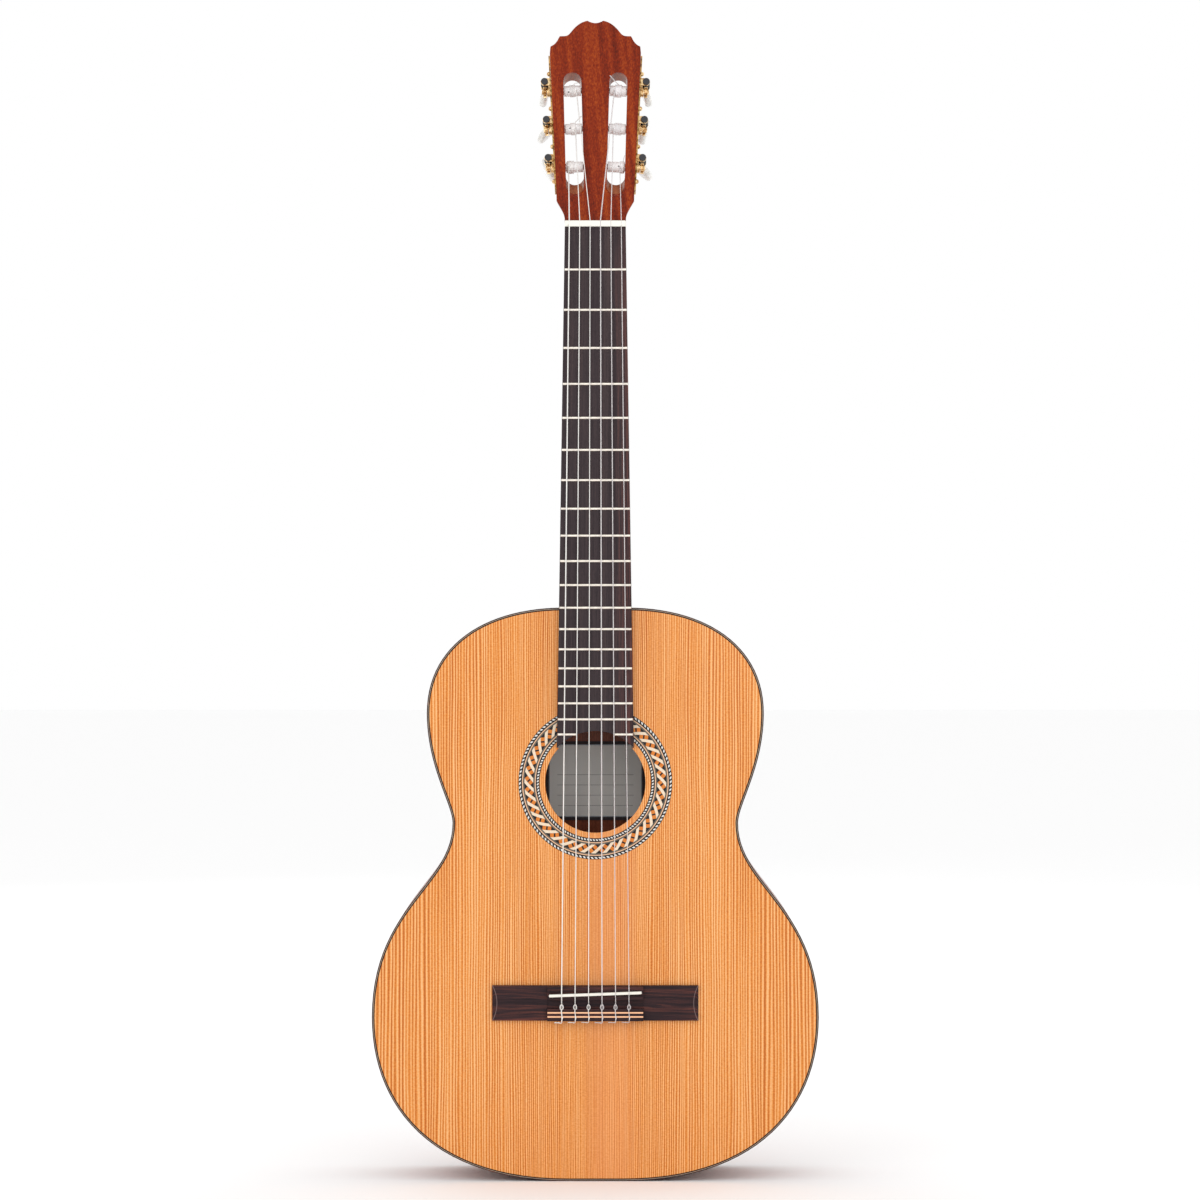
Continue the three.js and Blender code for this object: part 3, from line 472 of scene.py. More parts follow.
def pearloid():
    finish = Finish("pearloid", "pearl_button", Coat_Weight=0.6, Coat_Roughness=0.08)
    x, y, z = finish.place()
    sway = finish.noise(x / 4, y / 4, z / 4, 1, 3)
    swirl = finish.noise(x / 3 + sway * 2, y / 3, z / 3 + sway * 2, 1, 4, 0.65)
    colour = finish.ramp(
        swirl,
        (0.32, tint(206, 206, 201)),
        (0.5, tint(231, 230, 226)),
        (0.68, tint(250, 249, 247)),
    )
    finish.set("Base Color", colour)
    finish.set("Roughness", 0.22 + swirl * 0.1)
    return finish


def barrel_plastic():
    finish = Finish("barrel_plastic", "white_nylon", Specular_IOR_Level=0.3)
    x, y, z = finish.place()
    cloud = finish.noise(x / 3, y / 3, z / 3, 1, 2)
    finish.set("Base Color", finish.mix(cloud, tint(243, 240, 240), tint(255, 254, 253)))
    finish.set("Roughness", 0.3 + cloud * 0.08)
    return finish


def wound_string():
    finish = Finish("wound_string", "wound_string", Metallic=0.4)
    x, y, z = finish.place()
    turns = (z * (2 * math.pi / 0.24)).sine()
    cloud = finish.noise(x, y, z / 9, 1, 2)
    colour = finish.mix(cloud, tint(226, 223, 218), tint(252, 250, 246))
    finish.set("Base Color", colour)
    finish.set("Roughness", 0.34 + cloud * 0.1)
    finish.bump(turns, mm(0.03), 0.3)
    return finish


def clear_nylon():
    finish = Finish("clear_nylon", "nylon_string", IOR=1.45, Coat_Weight=0.2)
    x, y, z = finish.place()
    cloud = finish.noise(x, y, z / 14, 1, 2)
    finish.set("Base Color", finish.mix(cloud, tint(222, 214, 214), tint(240, 236, 236)))
    finish.set("Alpha", 0.56 + cloud * 0.2)
    finish.shader.inputs["Roughness"].default_value = 0.2
    return finish


def label_paper():
    """A plain ruled label: a dark frame, a thin inner line and faint writing lines, with no lettering."""
    finish = Finish("label_paper", "label_paper")
    x, y, z = finish.place()
    up = z - LABEL_Z
    sides = abs(x) - LABEL_HALF
    ends = abs(up) - LABEL_TALL
    edge = finish.node("ShaderNodeMath", {"operation": "MAXIMUM"}, {0: sides, 1: ends})
    corner = (abs(x) + abs(up) - LABEL_HALF - LABEL_TALL + 9) * 0.7
    rim = finish.node("ShaderNodeMath", {"operation": "MAXIMUM"}, {0: edge, 1: corner})
    fibre = finish.noise(x * 1.2, y, z * 1.2, 1, 3, 0.7)
    paper = finish.mix(fibre, tint(240, 238, 232), tint(255, 254, 250))
    rule = (((up + 40) / 9).fraction() < 0.045) * (rim < -10) * (up < 8)
    ruled = finish.mix(rule * 0.6, paper, tint(110, 108, 108))
    inner_line = (rim > -3.4) * (rim < -2.6)
    lined = finish.mix(inner_line, ruled, tint(160, 168, 176))
    framed = finish.mix(rim > -2.6, lined, tint(62, 52, 54))
    finish.set("Base Color", framed)
    finish.set("Roughness", 0.75 + fibre * 0.1)
    return finish


# ---- making pieces ----
def select_only(*objects):
    bpy.ops.object.select_all(action="DESELECT")
    for piece in objects:
        piece.select_set(True)
    bpy.context.view_layer.objects.active = objects[0] if objects else None


def settle(piece):
    """Puts the piece's place into its mesh."""
    select_only(piece)
    if piece.type == "CURVE":
        bpy.ops.object.convert(target="MESH")
    bpy.ops.object.transform_apply(location=True, rotation=True, scale=True)
    return piece


def modify(piece, kind, **settings):
    modifier = piece.modifiers.new(kind.title(), kind)
    for name, setting in settings.items():
        setattr(modifier, name, setting)
    select_only(piece)
    bpy.ops.object.modifier_apply(modifier=modifier.name)
    return piece


def round_edges(piece, width, segments=2, angle=35):
    limit = {"limit_method": "ANGLE", "angle_limit": math.radians(angle)}
    modify(piece, "BEVEL", width=mm(width), segments=segments, **limit)
    smooth(piece, angle)
    return modify(piece, "WEIGHTED_NORMAL", keep_sharp=True)


def smooth(piece, angle=35):
    select_only(piece)
    bpy.ops.object.shade_smooth_by_angle(angle=math.radians(angle))
    return piece


def hand_over(piece, name, finish, body="root", replaces=()):
    """Names a finished piece, gives it its material and body, and says which CAD nodes it stands for."""
    piece.name = name
    piece.data.name = name
    piece.data.materials.clear()
    piece.data.materials.append(finish.material)
    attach(piece, body)
    if replaces:
        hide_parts(*replaces)
    return piece


def outline_curve(loops, depths=None):
    """Closed outlines as one curve, in millimetres: flat in X and Y, or a ring in space for each loop."""
    bpy.ops.curve.primitive_bezier_circle_add()
    piece = bpy.context.object
    piece.data.dimensions = "3D" if depths is None else "2D"
    piece.data.splines.clear()
    for loop in loops:
        spline = piece.data.splines.new("POLY")
        spline.points.add(len(loop) - 1)
        for point, knot in zip(spline.points, loop):
            point.co = (*mm(*knot), 1) if depths is None else (*mm(*knot), 0, 1)
        spline.use_cyclic_u = True
    return piece


def flat_piece(loops, front, back, leaning=False):
    """Outlines in X and Z, in millimetres, made solid between two depths; the loops inside are holes."""
    piece = outline_curve(loops, (front, back))
    piece.data.fill_mode = "BOTH"
    piece.data.extrude = mm(back - front) / 2
    piece.rotation_euler.x = math.pi / 2
    piece.location.y = mm(front + back) / 2
    settle(piece)
    modify(piece, "WELD", merge_threshold=mm(0.002))
    return lean_back(piece) if leaning else piece


def lean_back(piece):
    """Leans what lies behind the middle of the body, so that the body deepens towards the tail."""
    start_edit(piece)
    choose(piece, "verts", lambda vertex: vertex.co.y > 0)
    centre = mm(0, RIM_Y, BODY_LENGTH)
    bpy.ops.transform.rotate(value=LEAN_TURN, orient_axis="X", center_override=centre)
    end_edit()
    return piece


def start_edit(piece, mode="VERT"):
    select_only(piece)
    bpy.ops.object.mode_set(mode="EDIT")
    bpy.ops.mesh.select_mode(type=mode)
    bpy.ops.mesh.select_all(action="SELECT")


def end_edit():
    bpy.ops.object.mode_set(mode="OBJECT")


def choose(piece, parts, wanted):
    """Selects the vertices, edges or faces that pass a test."""
    bpy.ops.mesh.select_all(action="DESELECT")
    shape = bmesh.from_edit_mesh(piece.data)
    for part in getattr(shape, parts):
        part.select_set(wanted(part))
    shape.select_flush_mode()
    bmesh.update_edit_mesh(piece.data)


def loft(rings):
    """A closed body bridged through rings of points, in millimetres."""
    piece = settle(outline_curve(rings))
    start_edit(piece, "EDGE")
    bpy.ops.mesh.bridge_edge_loops()
    bpy.ops.mesh.select_mode(type="EDGE")
    bpy.ops.mesh.select_all(action="DESELECT")
    bpy.ops.mesh.select_non_manifold()
    bpy.ops.mesh.edge_face_add()
    end_edit()
    return outwards(piece)


def outwards(piece):
    start_edit(piece)
    bpy.ops.mesh.normals_make_consistent(inside=False)
    end_edit()
    return piece


def turned(steps, place, sides=32):
    """A round piece along its own X, in millimetres: a disc extruded and resized step by step."""
    bpy.ops.object.select_all(action="DESELECT")
    start, radius = steps[0]
    bpy.ops.mesh.primitive_circle_add(
        vertices=sides,
        radius=mm(radius),
        fill_type="NGON",
        location=(mm(start), 0, 0),
        rotation=(0, math.pi / 2, 0),
    )
    piece = bpy.context.object
    start_edit(piece)
    for along, wide in steps[1:]:
        bpy.ops.mesh.extrude_region_move(TRANSFORM_OT_translate={"value": (mm(along - start), 0, 0)})
        if abs(wide - radius) > 1e-6:
            scale = wide / radius
            bpy.ops.transform.resize(value=(1, scale, scale), center_override=(mm(along), 0, 0))
        start, radius = along, wide
    end_edit()
    settle(piece)
    return moved(outwards(piece), place)


def upright_rod(radius, half, middle, sides):
    """A plain rod along Z, in millimetres, to drill with."""
    place = Matrix.Translation(mm(*middle)) @ Matrix.Rotation(math.pi / 2, 4, "Y")
    return turned([(-half, radius), (half, radius)], place, sides)


def moved(piece, place):
    """Takes a piece from its own axes to a place, and leaves the place in its mesh."""
    piece.matrix_world = place
    settle(piece)
    return outwards(piece) if place.determinant() < 0 else piece


def copied(piece, place):
    select_only(piece)
    bpy.ops.object.duplicate(linked=False)
    return moved(bpy.context.object, place)


def wire(points, radius, sides=4, cyclic=False, smooth_path=False):
    """A round wire through points, in millimetres."""
    bpy.ops.curve.primitive_bezier_curve_add()
    piece = bpy.context.object
    data = piece.data
    data.dimensions = "3D"
    data.splines.clear()
    spline = data.splines.new("BEZIER" if smooth_path else "POLY")
    if smooth_path:
        spline.bezier_points.add(len(points) - 1)
        for knot, point in zip(spline.bezier_points, points):
            knot.co = mm(*point)
            knot.handle_left_type = knot.handle_right_type = "AUTO"
        data.resolution_u = 6
    else:
        spline.points.add(len(points) - 1)
        for knot, point in zip(spline.points, points):
            knot.co = (*mm(*point), 1)
    spline.use_cyclic_u = cyclic
    data.bevel_depth = mm(radius)
    data.bevel_resolution = sides - 2
    data.use_fill_caps = True
    settle(piece)
    return smooth(piece, 60)


def box(low, high, rim=0.0):
    """A block between two corners in millimetres, its edges eased."""
    bpy.ops.object.select_all(action="DESELECT")
    centre = [mm(a + b) / 2 for a, b in zip(low, high)]
    bpy.ops.mesh.primitive_cube_add(size=1, location=centre)
    piece = bpy.context.object
    piece.scale = [mm(b - a) for a, b in zip(low, high)]
    settle(piece)
    return round_edges(piece, rim) if rim else piece


def cut_away(piece, cutter):
    """Takes the cutter's shape out of the piece."""
    modify(piece, "BOOLEAN", object=cutter, operation="DIFFERENCE", solver="EXACT")
    bpy.data.objects.remove(cutter)
    return piece


def joined(piece, other):
    """Makes one solid of two that meet."""
    modify(piece, "BOOLEAN", object=other, operation="UNION", solver="EXACT")
    bpy.data.objects.remove(other)
    return piece


# ---- outlines, in millimetres ----
def bezier(start, first, second, end, steps=26):
    points = []
    for i in range(steps):
        t = i / steps
        weights = ((1 - t) ** 3, 3 * t * (1 - t) ** 2, 3 * t**2 * (1 - t), t**3)
        knots = (start, first, second, end)
        points.append(tuple(sum(w * k[axis] for w, k in zip(weights, knots)) for axis in (0, 1)))
    return points


TAIL_FLAT = 24
NECK_FLAT = 28
LOWER, WAIST, UPPER = (191, 140), (122, 306), (144, 400)


def half_outline(inset=0.0, start=0.0):
    """The body's right half from the tail to the neck."""
    right = [(start, 0)]
    right += bezier((TAIL_FLAT, 0), (141, 0), (191, 65), LOWER)
    right += bezier(LOWER, (191, 235), (122, 253), WAIST)
    right += bezier(WAIST, (122, 322), (144, 354), UPPER)
    right += bezier(UPPER, (144, 458), (94, BODY_LENGTH), (NECK_FLAT, BODY_LENGTH))
    right += [(NECK_FLAT, BODY_LENGTH), (0, BODY_LENGTH)]
    shifted = []
    for i, (x, z) in enumerate(right):
        before, after = right[max(i - 1, 0)], right[min(i + 1, len(right) - 1)]
        ahead = Vector((after[0] - before[0], after[1] - before[1])).normalized()
        inward = (-ahead.y, ahead.x)
        if z in (0, BODY_LENGTH):
            inward = (0, 1 if z == 0 else -1)
        shifted.append((x + inward[0] * inset, z + inward[1] * inset))
    return shifted


def whole_outline(inset=0.0):
    right = half_outline(inset)[1:-1]
    return right + [(-x, z) for x, z in reversed(right)]


def ring(radius, sides=160, middle=(0, HOLE_Z)):
    turns = [2 * math.pi * i / sides for i in range(sides)]
    return [(middle[0] + radius * math.cos(t), middle[1] + radius * math.sin(t)) for t in turns]


LEAN_TURN = -math.atan(TAIL_DEEPER / BODY_LENGTH)


def deeper(z):
    return TAIL_DEEPER * (1 - z / BODY_LENGTH)


def board_half(z):
    return BOARD_AT_NUT + (BOARD_AT_BODY - BOARD_AT_NUT) * (NUT_Z - z) / (NUT_Z - BODY_LENGTH)


def mouth_arc():
    """The hollow end of the fingerboard, from its bass corner to its treble corner."""
    reach = math.asin(board_half(BOARD_CORNER) / MOUTH_R)
    arc = [reach - 2 * reach * i / 40 for i in range(41)]
    return [(MOUTH_R * math.sin(-t), HOLE_Z + MOUTH_R * math.cos(t)) for t in arc]


def fret_z(number):
    return NUT_Z - SCALE * (1 - 2 ** (-number / 12))


def spread(i, outer):
    return (2 * i / 5 - 1) * outer


# ---- body ----
EDGE_OUT = 0.9
LIGHT_LINE = 0.35
EDGE_IN = 2.3


def make_body():
    top = flat_piece([whole_outline(EDGE_IN), ring(HOLE_R)], TOP_Y, TOP_Y + TOP_THICK)
    groove = flat_piece([ring(ROSETTE_OUT + 0.01), ring(ROSETTE_IN - 0.01)], TOP_Y - 1, TOP_Y + 0.6)
    top = cut_away(top, groove)
    # Under the fingerboard the hole's edge is trimmed flush with the board's end.
    top = cut_away(top, flat_piece([mouth_arc()], TOP_Y - 1, TOP_Y + TOP_THICK + 1))
    hand_over(round_edges(top, 0.25), "soundboard_looks", CEDAR, replaces=["soundboard"])
    inlay = flat_piece([ring(ROSETTE_OUT), ring(ROSETTE_IN)], TOP_Y, TOP_Y + 0.6)
    hand_over(smooth(inlay), "rosette_looks", ROSETTE, replaces=["rosette"])
    for name, near, far, finish in (
        ("purfling_light", EDGE_OUT, EDGE_OUT + LIGHT_LINE, PALE_LINE),
        ("purfling_dark", EDGE_OUT + LIGHT_LINE, EDGE_IN, DARK_LINE),
    ):
        line = flat_piece([whole_outline(near), whole_outline(far)], TOP_Y, TOP_Y + TOP_THICK)
        hand_over(smooth(line), name, finish)
    rim = flat_piece([whole_outline(0), whole_outline(EDGE_OUT)], TOP_Y, TOP_Y + BINDING_TALL)
    hand_over(round_edges(rim, 0.3), "top_binding_looks", ROSEWOOD, replaces=["top_binding"])
    back_front = RIM_Y + BACK_THICK - BINDING_TALL
    rim = flat_piece([whole_outline(0), whole_outline(BINDING)], back_front, RIM_Y + BACK_THICK, True)
    hand_over(round_edges(rim, 0.5), "back_binding_looks", ROSEWOOD, replaces=["back_binding"])
    make_sides()
    make_back()


def make_sides():
    """Each side is one bent rib, rabbeted at both edges for the bindings."""
    front = TOP_Y + TOP_THICK
    back_shoulder = RIM_Y + BACK_THICK - BINDING_TALL
    outer, step, inner = (half_outline(inset, GRAFT) for inset in (0, BINDING, SIDE_THICK))
    for name, hand in (("bass_side", -1), ("treble_side", 1)):
        tongue = [(hand * x, z) for x, z in step + inner[::-1]]
        rib = flat_piece([tongue], front, RIM_Y, True)
        skin = [(hand * x, z) for x, z in outer + half_outline(BINDING + 0.3, GRAFT)[::-1]]
        rib = joined(rib, flat_piece([skin], TOP_Y + BINDING_TALL, back_shoulder, True))
        hand_over(smooth(rib, 30), name + "_looks", SIDE_WOOD, replaces=[name])


def make_back():
    """The back's skin, drawn in towards its middle in steps as it arches, then given its thickness."""
    piece = outline_curve([whole_outline(BINDING)], (0, 0))
    piece.data.fill_mode = "NONE"
    piece.rotation_euler.x = math.pi / 2
    piece.location.y = mm(RIM_Y)
    settle(piece)
    start_edit(piece, "EDGE")
    middle = mm(0, RIM_Y, BACK_MIDDLE)
    scale, arch = 1, 0
    for closer in (0.97, 0.91, 0.83, 0.72, 0.6, 0.45, 0.3, 0.15, 0.03):
        higher = mm(BACK_ARCH) * (1 - (closer / 0.97) ** 2)
        bpy.ops.mesh.extrude_edges_move(TRANSFORM_OT_translate={"value": (0, higher - arch, 0)})
        part = closer / scale
        bpy.ops.transform.resize(value=(part, 1, part), center_override=middle)
        scale, arch = closer, higher
    bpy.ops.mesh.edge_face_add()
    end_edit()
    modify(piece, "SOLIDIFY", thickness=mm(BACK_THICK), offset=0)
    outwards(piece)
    piece.location.y = mm(BACK_THICK) / 2
    settle(piece)
    hand_over(smooth(lean_back(piece), 40), "back_looks", BACK_WOOD, replaces=["back_panel"])


# ---- neck ----
HEAD_FOOT = 5.6
NECK_SECTIONS = [
    (490, 94, 11, 2.2, 1.1),
    (505, 94, 11, 2.2, 1.1),
    (509, 78, 9.5, 2.1, 1.05),
    (516, 58, 8, 1.8, 1),
    (526, 40, 6.5, 1.4, 0.95),
    (540, 26.5, 5, 1.1, 0.9),
    (560, 19.5, 4, 1, 0.85),
    (590, 17, 3, 1, 0.85),
    (780, 15.2, 3, 1, 0.85),
    (800, 15.8, 3, 1, 0.85),
    (811, 18.2, 4, 0.9, 0.8),
    (815, 19.6, 4, 0.9, 0.8),
]


def head_plane_z(y, along):
    return NUT_Z + (along - (y - TOP_Y) * math.sin(TILT)) / math.cos(TILT)


def make_neck():
    turns = [math.pi * i / 32 for i in range(33)]
    rings = []
    for z, deep, flat, flare, full in NECK_SECTIONS:
        half = board_half(z)
        points = []
        for turn in turns:
            c, s = math.cos(turn), max(math.sin(turn), 0)
            across = 0 if abs(c) < 1e-9 else math.copysign(1, c)
            x = across * (flat + (half - flat) * abs(c) ** flare)
            y = TOP_Y + deep * s**full
            points.append((x, y, head_plane_z(y, HEAD_FOOT - 0.05) if z == 815 else z))
        rings.append(points)
    hand_over(smooth(loft(rings), 40), "neck_looks", NECK_WOOD, replaces=["neck"])


def make_fingerboard():
    front = TOP_Y - BOARD_THICK
    outline = [(-BOARD_AT_NUT, NUT_Z)] + mouth_arc() + [(BOARD_AT_NUT, NUT_Z)]
    board = flat_piece([outline], front, TOP_Y)
    hand_over(round_edges(board, 0.35), "fingerboard_looks", BOARD_WOOD, replaces=["fingerboard"])
    crown = [(-1.05, 0.3), (-1.05, -0.35), (-0.75, -0.85), (-0.35, -1.08)]
    crown += [(-x, y) for x, y in reversed(crown)]
    for number in range(1, FRETS + 1):
        z = fret_z(number)
        wide = board_half(z) - 0.3
        gap = math.sqrt(MOUTH_R**2 - (z - HOLE_Z) ** 2) + 0.4 if z - HOLE_Z < MOUTH_R else 0
        spans = [(gap, wide), (-wide, -gap)] if gap else [(-wide, wide)]
        for part, (left, right) in enumerate(spans):
            stations = [(left, 0.35), (left + 0.5, 1), (right - 0.5, 1), (right, 0.35)]
            rings = []
            for x, tall in stations:
                rings.append([(x, front + y * (tall if y < 0 else 1), z + w) for w, y in crown])
            name = f"fret_{number:02d}" + (f"_{part + 1}" if gap else "")
            hand_over(smooth(loft(rings), 50), name, NICKEL)


def make_nut():
    top = TOP_Y - NUT_TALL
    nut = box((-BOARD_AT_NUT, top, NUT_Z), (BOARD_AT_NUT, TOP_Y, NUT_Z + NUT_THICK), 0.7)
    for i, radius in enumerate(STRING_RADII):
        x = spread(i, AT_NUT)
        nut = cut_away(nut, upright_rod(radius + 0.12, 9, (x, top + 0.5, NUT_Z + NUT_THICK / 2), 20))
    hand_over(smooth(nut, 40), "nut_looks", BONE, replaces=["nut"])


# ---- bridge ----
def saddle_z(x):
    return NUT_Z - SCALE - 4.5 + (2 / (2 * AT_SADDLE)) * x


BRIDGE_TOP = TOP_Y - BRIDGE_TALL
WING_TALL = 4
SADDLE_TOP = BRIDGE_TOP - 2.5
SADDLE_HALF = 39.5
TROUGH_FLOOR = 3.4
HOLE_UP = 5.8
STRIPS = [("tie_block_strip_upper", BRIDGE_LOW + 7.2), ("tie_block_strip_lower", BRIDGE_LOW + 3.7)]
STRIP_HALF = 0.65


def make_bridge():
    deep = BRIDGE_HIGH - BRIDGE_LOW
    crown = [(0, 0), (1, 0), (1, 0.86), (0.985, 0.97), (0.955, 1), (0.045, 1), (0.015, 0.97), (0, 0.86)]
    rings = []
    for x in (-BRIDGE_HALF, BRIDGE_HALF):
        rings.append([(x, TOP_Y - WING_TALL * up, BRIDGE_LOW + deep * along) for along, up in crown])
    wings = loft(rings)
    for hand in HANDS.values():
        # Each tip falls away in a hollow facet whose upper edge is an arc from corner to corner.
        middle = mm(hand * (BRIDGE_HALF + FACET_R - FACET_IN), TOP_Y - WING_TALL, BRIDGE_LOW + deep / 2)
        upright = Matrix.Translation(middle) @ Matrix.Rotation(math.pi / 2, 4, "Z")
        wings = cut_away(wings, turned([(-3, FACET_R + 4), (0, FACET_R), (2.4, FACET_R - 3.6)], upright, 144))
    round_edges(wings, 0.25, 2, 20)
    trough = BRIDGE_LOW + TIE_DEEP
    bed_low = trough + TROUGH_DEEP
    side = CENTRE_HALF + 0.1
    hollow = box((-side, BRIDGE_TOP - 5, trough), (side, TOP_Y - TROUGH_FLOOR, bed_low))
    wings = cut_away(wings, hollow)
    hand_over(wings, "bridge_looks", BRIDGE_WOOD, replaces=["bridge"])
    bed = box((-CENTRE_HALF, BRIDGE_TOP, bed_low), (CENTRE_HALF, TOP_Y - 1, BRIDGE_HIGH - 0.6), 0.5)
    slot = flat_piece([saddle_loop(SADDLE_HALF + 0.15, 1.35)], BRIDGE_TOP - 5, BRIDGE_TOP + 4.5)
    hand_over(cut_away(bed, slot), "saddle_bed", ROSEWOOD)
    tie = box((-CENTRE_HALF, BRIDGE_TOP, BRIDGE_LOW), (CENTRE_HALF, TOP_Y - 1, trough), 0.5)
    for _, z in STRIPS:
        low, high = z - STRIP_HALF - 0.03, z + STRIP_HALF + 0.03
        groove = box((-CENTRE_HALF - 1, BRIDGE_TOP - 1, low), (CENTRE_HALF + 1, BRIDGE_TOP + 0.8, high))
        tie = cut_away(tie, groove)
    for i in range(6):
        hole = (spread(i, AT_SADDLE), TOP_Y - HOLE_UP, BRIDGE_LOW + 5)
        tie = cut_away(tie, upright_rod(1.2, 8, hole, 20))
    hand_over(smooth(tie, 40), "tie_block", ROSEWOOD)
    for name, z in STRIPS:
        corner = (-CENTRE_HALF + 0.2, BRIDGE_TOP - 0.03, z - STRIP_HALF)
        strip = box(corner, (CENTRE_HALF - 0.2, BRIDGE_TOP + 0.8, z + STRIP_HALF), 0.12)
        hand_over(strip, name + "_looks", STRIP_WOOD, replaces=[name])
    blade = flat_piece([saddle_loop(SADDLE_HALF, 1.2)], SADDLE_TOP, BRIDGE_TOP + 4.4)
    hand_over(round_edges(blade, 0.6, 3), "saddle_looks", BONE, replaces=["saddle"])


def saddle_loop(half, thick):
    return [
        (-half, saddle_z(-half) - thick),
        (half, saddle_z(half) - thick),
        (half, saddle_z(half) + thick),
        (-half, saddle_z(-half) + thick),
    ]


# ---- head ----
HEAD = Matrix.Translation(mm(0, TOP_Y, NUT_Z)) @ Matrix.Rotation(-TILT, 4, "X")


def edge_frame(hand):
    corner = Matrix.Translation(mm(hand * EDGE_HALF, AXLE_DEEP, EDGE_LOW))
    return HEAD @ corner @ Matrix.Rotation(hand * LEAN, 4, "Y") @ Matrix.Diagonal((hand, 1, 1, 1))


def along_edge(station):
    return (station - EDGE_LOW) / math.cos(LEAN)


SWEEP_UP = 7.5


def head_outline(carved=0.0):
    """The head's edge; carved raises the sweep out of the neck, as it is on the back."""
    right = [(26.2, HEAD_FOOT)]
    sweep = [(26.2, 8), (26.4, 12.5), (29.2, 16.8), (33.2, 24.2)]
    right += bezier(*[(x, z + carved) for x, z in sweep], 14)
    right += [(33.2, 24.2 + carved), (33.48, 36), (39.4, 160), (38.9, 165.6)]
    right += bezier((38.6, 166.2), (35.4, 167.6), (32.8, 170.4), (31.2, 175.6), 8)
    right += [(30.8, 175.6)]
    right += bezier((27, 175.7), (23, 175.8), (22, 178.5), (20, 180.9), 8)
    right += bezier((20, 180.9), (16, 186.2), (11.5, 189.2), (6.8, HEAD_LONG), 10)
    right += bezier((6.8, HEAD_LONG), (4.3, 188.5), (2, 187.8), (0, 187.8), 7)
    right += [(0, 187.8)]
    return right + [(-x, z) for x, z in reversed(right[:-1])]


def slot_centre(z):
    return SLOT_IN + SLOT_SPREAD * (z - SLOT_LOW) / (SLOT_HIGH - SLOT_LOW)


def slot_ring(hand, y, low):
    """A leaning round-ended slot at one depth."""
    points = []
    for end, turns in ((SLOT_HIGH - SLOT_R, range(0, 17)), (low + SLOT_R, range(16, 33))):
        for i in turns:
            turn = math.pi * i / 16
            x = slot_centre(end) + SLOT_R * math.cos(turn)
            points.append((hand * x, y, end + SLOT_R * math.sin(turn)))
    return points


def slot_cutter(hand):
    levels = [(-2, RAMP_LOW - 1.6), (0.35, RAMP_LOW + 0.3), (10.5, THROUGH_LOW), (22, THROUGH_LOW)]
    return loft([slot_ring(hand, y, low) for y, low in levels])


def make_head():
    levels = ((VENEER, 0), (HEAD_THICK, SWEEP_UP))
    wood = loft([[(x, y, z) for x, z in head_outline(carved)] for y, carved in levels])
    face = flat_piece([head_outline()], 0, VENEER)
    for hand in HANDS.values():
        wood = cut_away(wood, slot_cutter(hand))
        face = cut_away(face, slot_cutter(hand))
    for key, hand in HANDS.items():
        local = HEAD.inverted() @ edge_frame(hand)
        for station in STATIONS:
            axle = local @ Matrix.Translation(mm(0, 0, along_edge(station)))
            wood = cut_away(wood, turned([(-32, AXLE_BORE), (3, AXLE_BORE)], axle, 20))
    for piece, name, node, finish in (
        (wood, "headstock_looks", "headstock", NECK_WOOD),
        (face, "head_veneer_looks", "head_veneer", HEAD_WOOD),
    ):
        moved(round_edges(piece, 0.45, 2, 50), HEAD)
        hand_over(piece, name, finish, replaces=[node])


# ---- tuners ----
AXLE_BORE = 3.6
EAR_Y = 5.3
EAR_THICK = 1.3
EAR_R = 3.3
BUTTON_AT = 13.5
BUTTON_HALF = (3.25, 7.75, 11.5)
BUTTON_TURNS = {"bass": [-15, -40, 25], "treble": [-18, 10, -45]}
ON_ROLLER = {"bass": [16.5, 17.2, 23], "treble": [16.5, 15.5, 21]}
STRING_AT = {"bass": [2, 1, 0], "treble": [3, 4, 5]}
COILS = {
    "bass": [(18.2, 22.4), (17.6, 21.2), (23.6, 18.6)],
    "treble": [(17.8, 22.6), (17.4, 22.4), (21.4, 24.6)],
}
STRING_HOLES = {"bass": [(23.1, 30), (21.9, 10), None], "treble": [None, None, (20.2, 8)]}
ENDS = {
    "bass": [
        [(19.2, -2.5, 4.5), (17.6, -2.4, 5.9), (13.9, -2.2, 6.9)],
        [(18.0, -3.0, 4.2), (15.0, -3.5, 7.2), (11.9, -4.2, 10.0)],
        [(20.0, 2.5, 4.3), (21.0, 3.0, 6.0), (22.0, 3.2, 7.0)],
    ],
    "treble": [
        [(20.6, -3.2, 4.0), (17.0, -7.2, 6.2), (12.6, -11.6, 9.4)],
        [(20.0, 2.5, 4.3), (19.0, 3.0, 5.6), (17.8, 3.2, 6.4)],
        [(24.0, -2.4, 4.4), (24.5, -2.6, 7.4), (25.2, -2.8, 10.2)],
    ],
}
PLATE_LOW, PLATE_HIGH = 36, 159
SCREWS = [145, 113, 78, 46]
HUB_STEPS = [(1.3, 3.9), (1.45, 4.55), (2.05, 4.55), (2.2, 3.8), (2.6, 3.8)]
HUB_STEPS += [(2.75, 4.55), (3.3, 4.55), (3.45, 3.8), (3.9, 3.8)]
CAP_STEPS = [(-4.8, 1.55), (-6.75, 1.55), (-6.75, 2.8), (-6.95, 3.05)]
CAP_STEPS += [(-8.0, 3.05), (-8.3, 2.8), (-8.35, 0.9)]


def edge_half(station):
    return EDGE_HALF + (station - EDGE_LOW) * EDGE_SLOPE


def roller_reach(station):
    between = edge_half(station) - slot_centre(station)
    return between - SLOT_R, between + SLOT_R


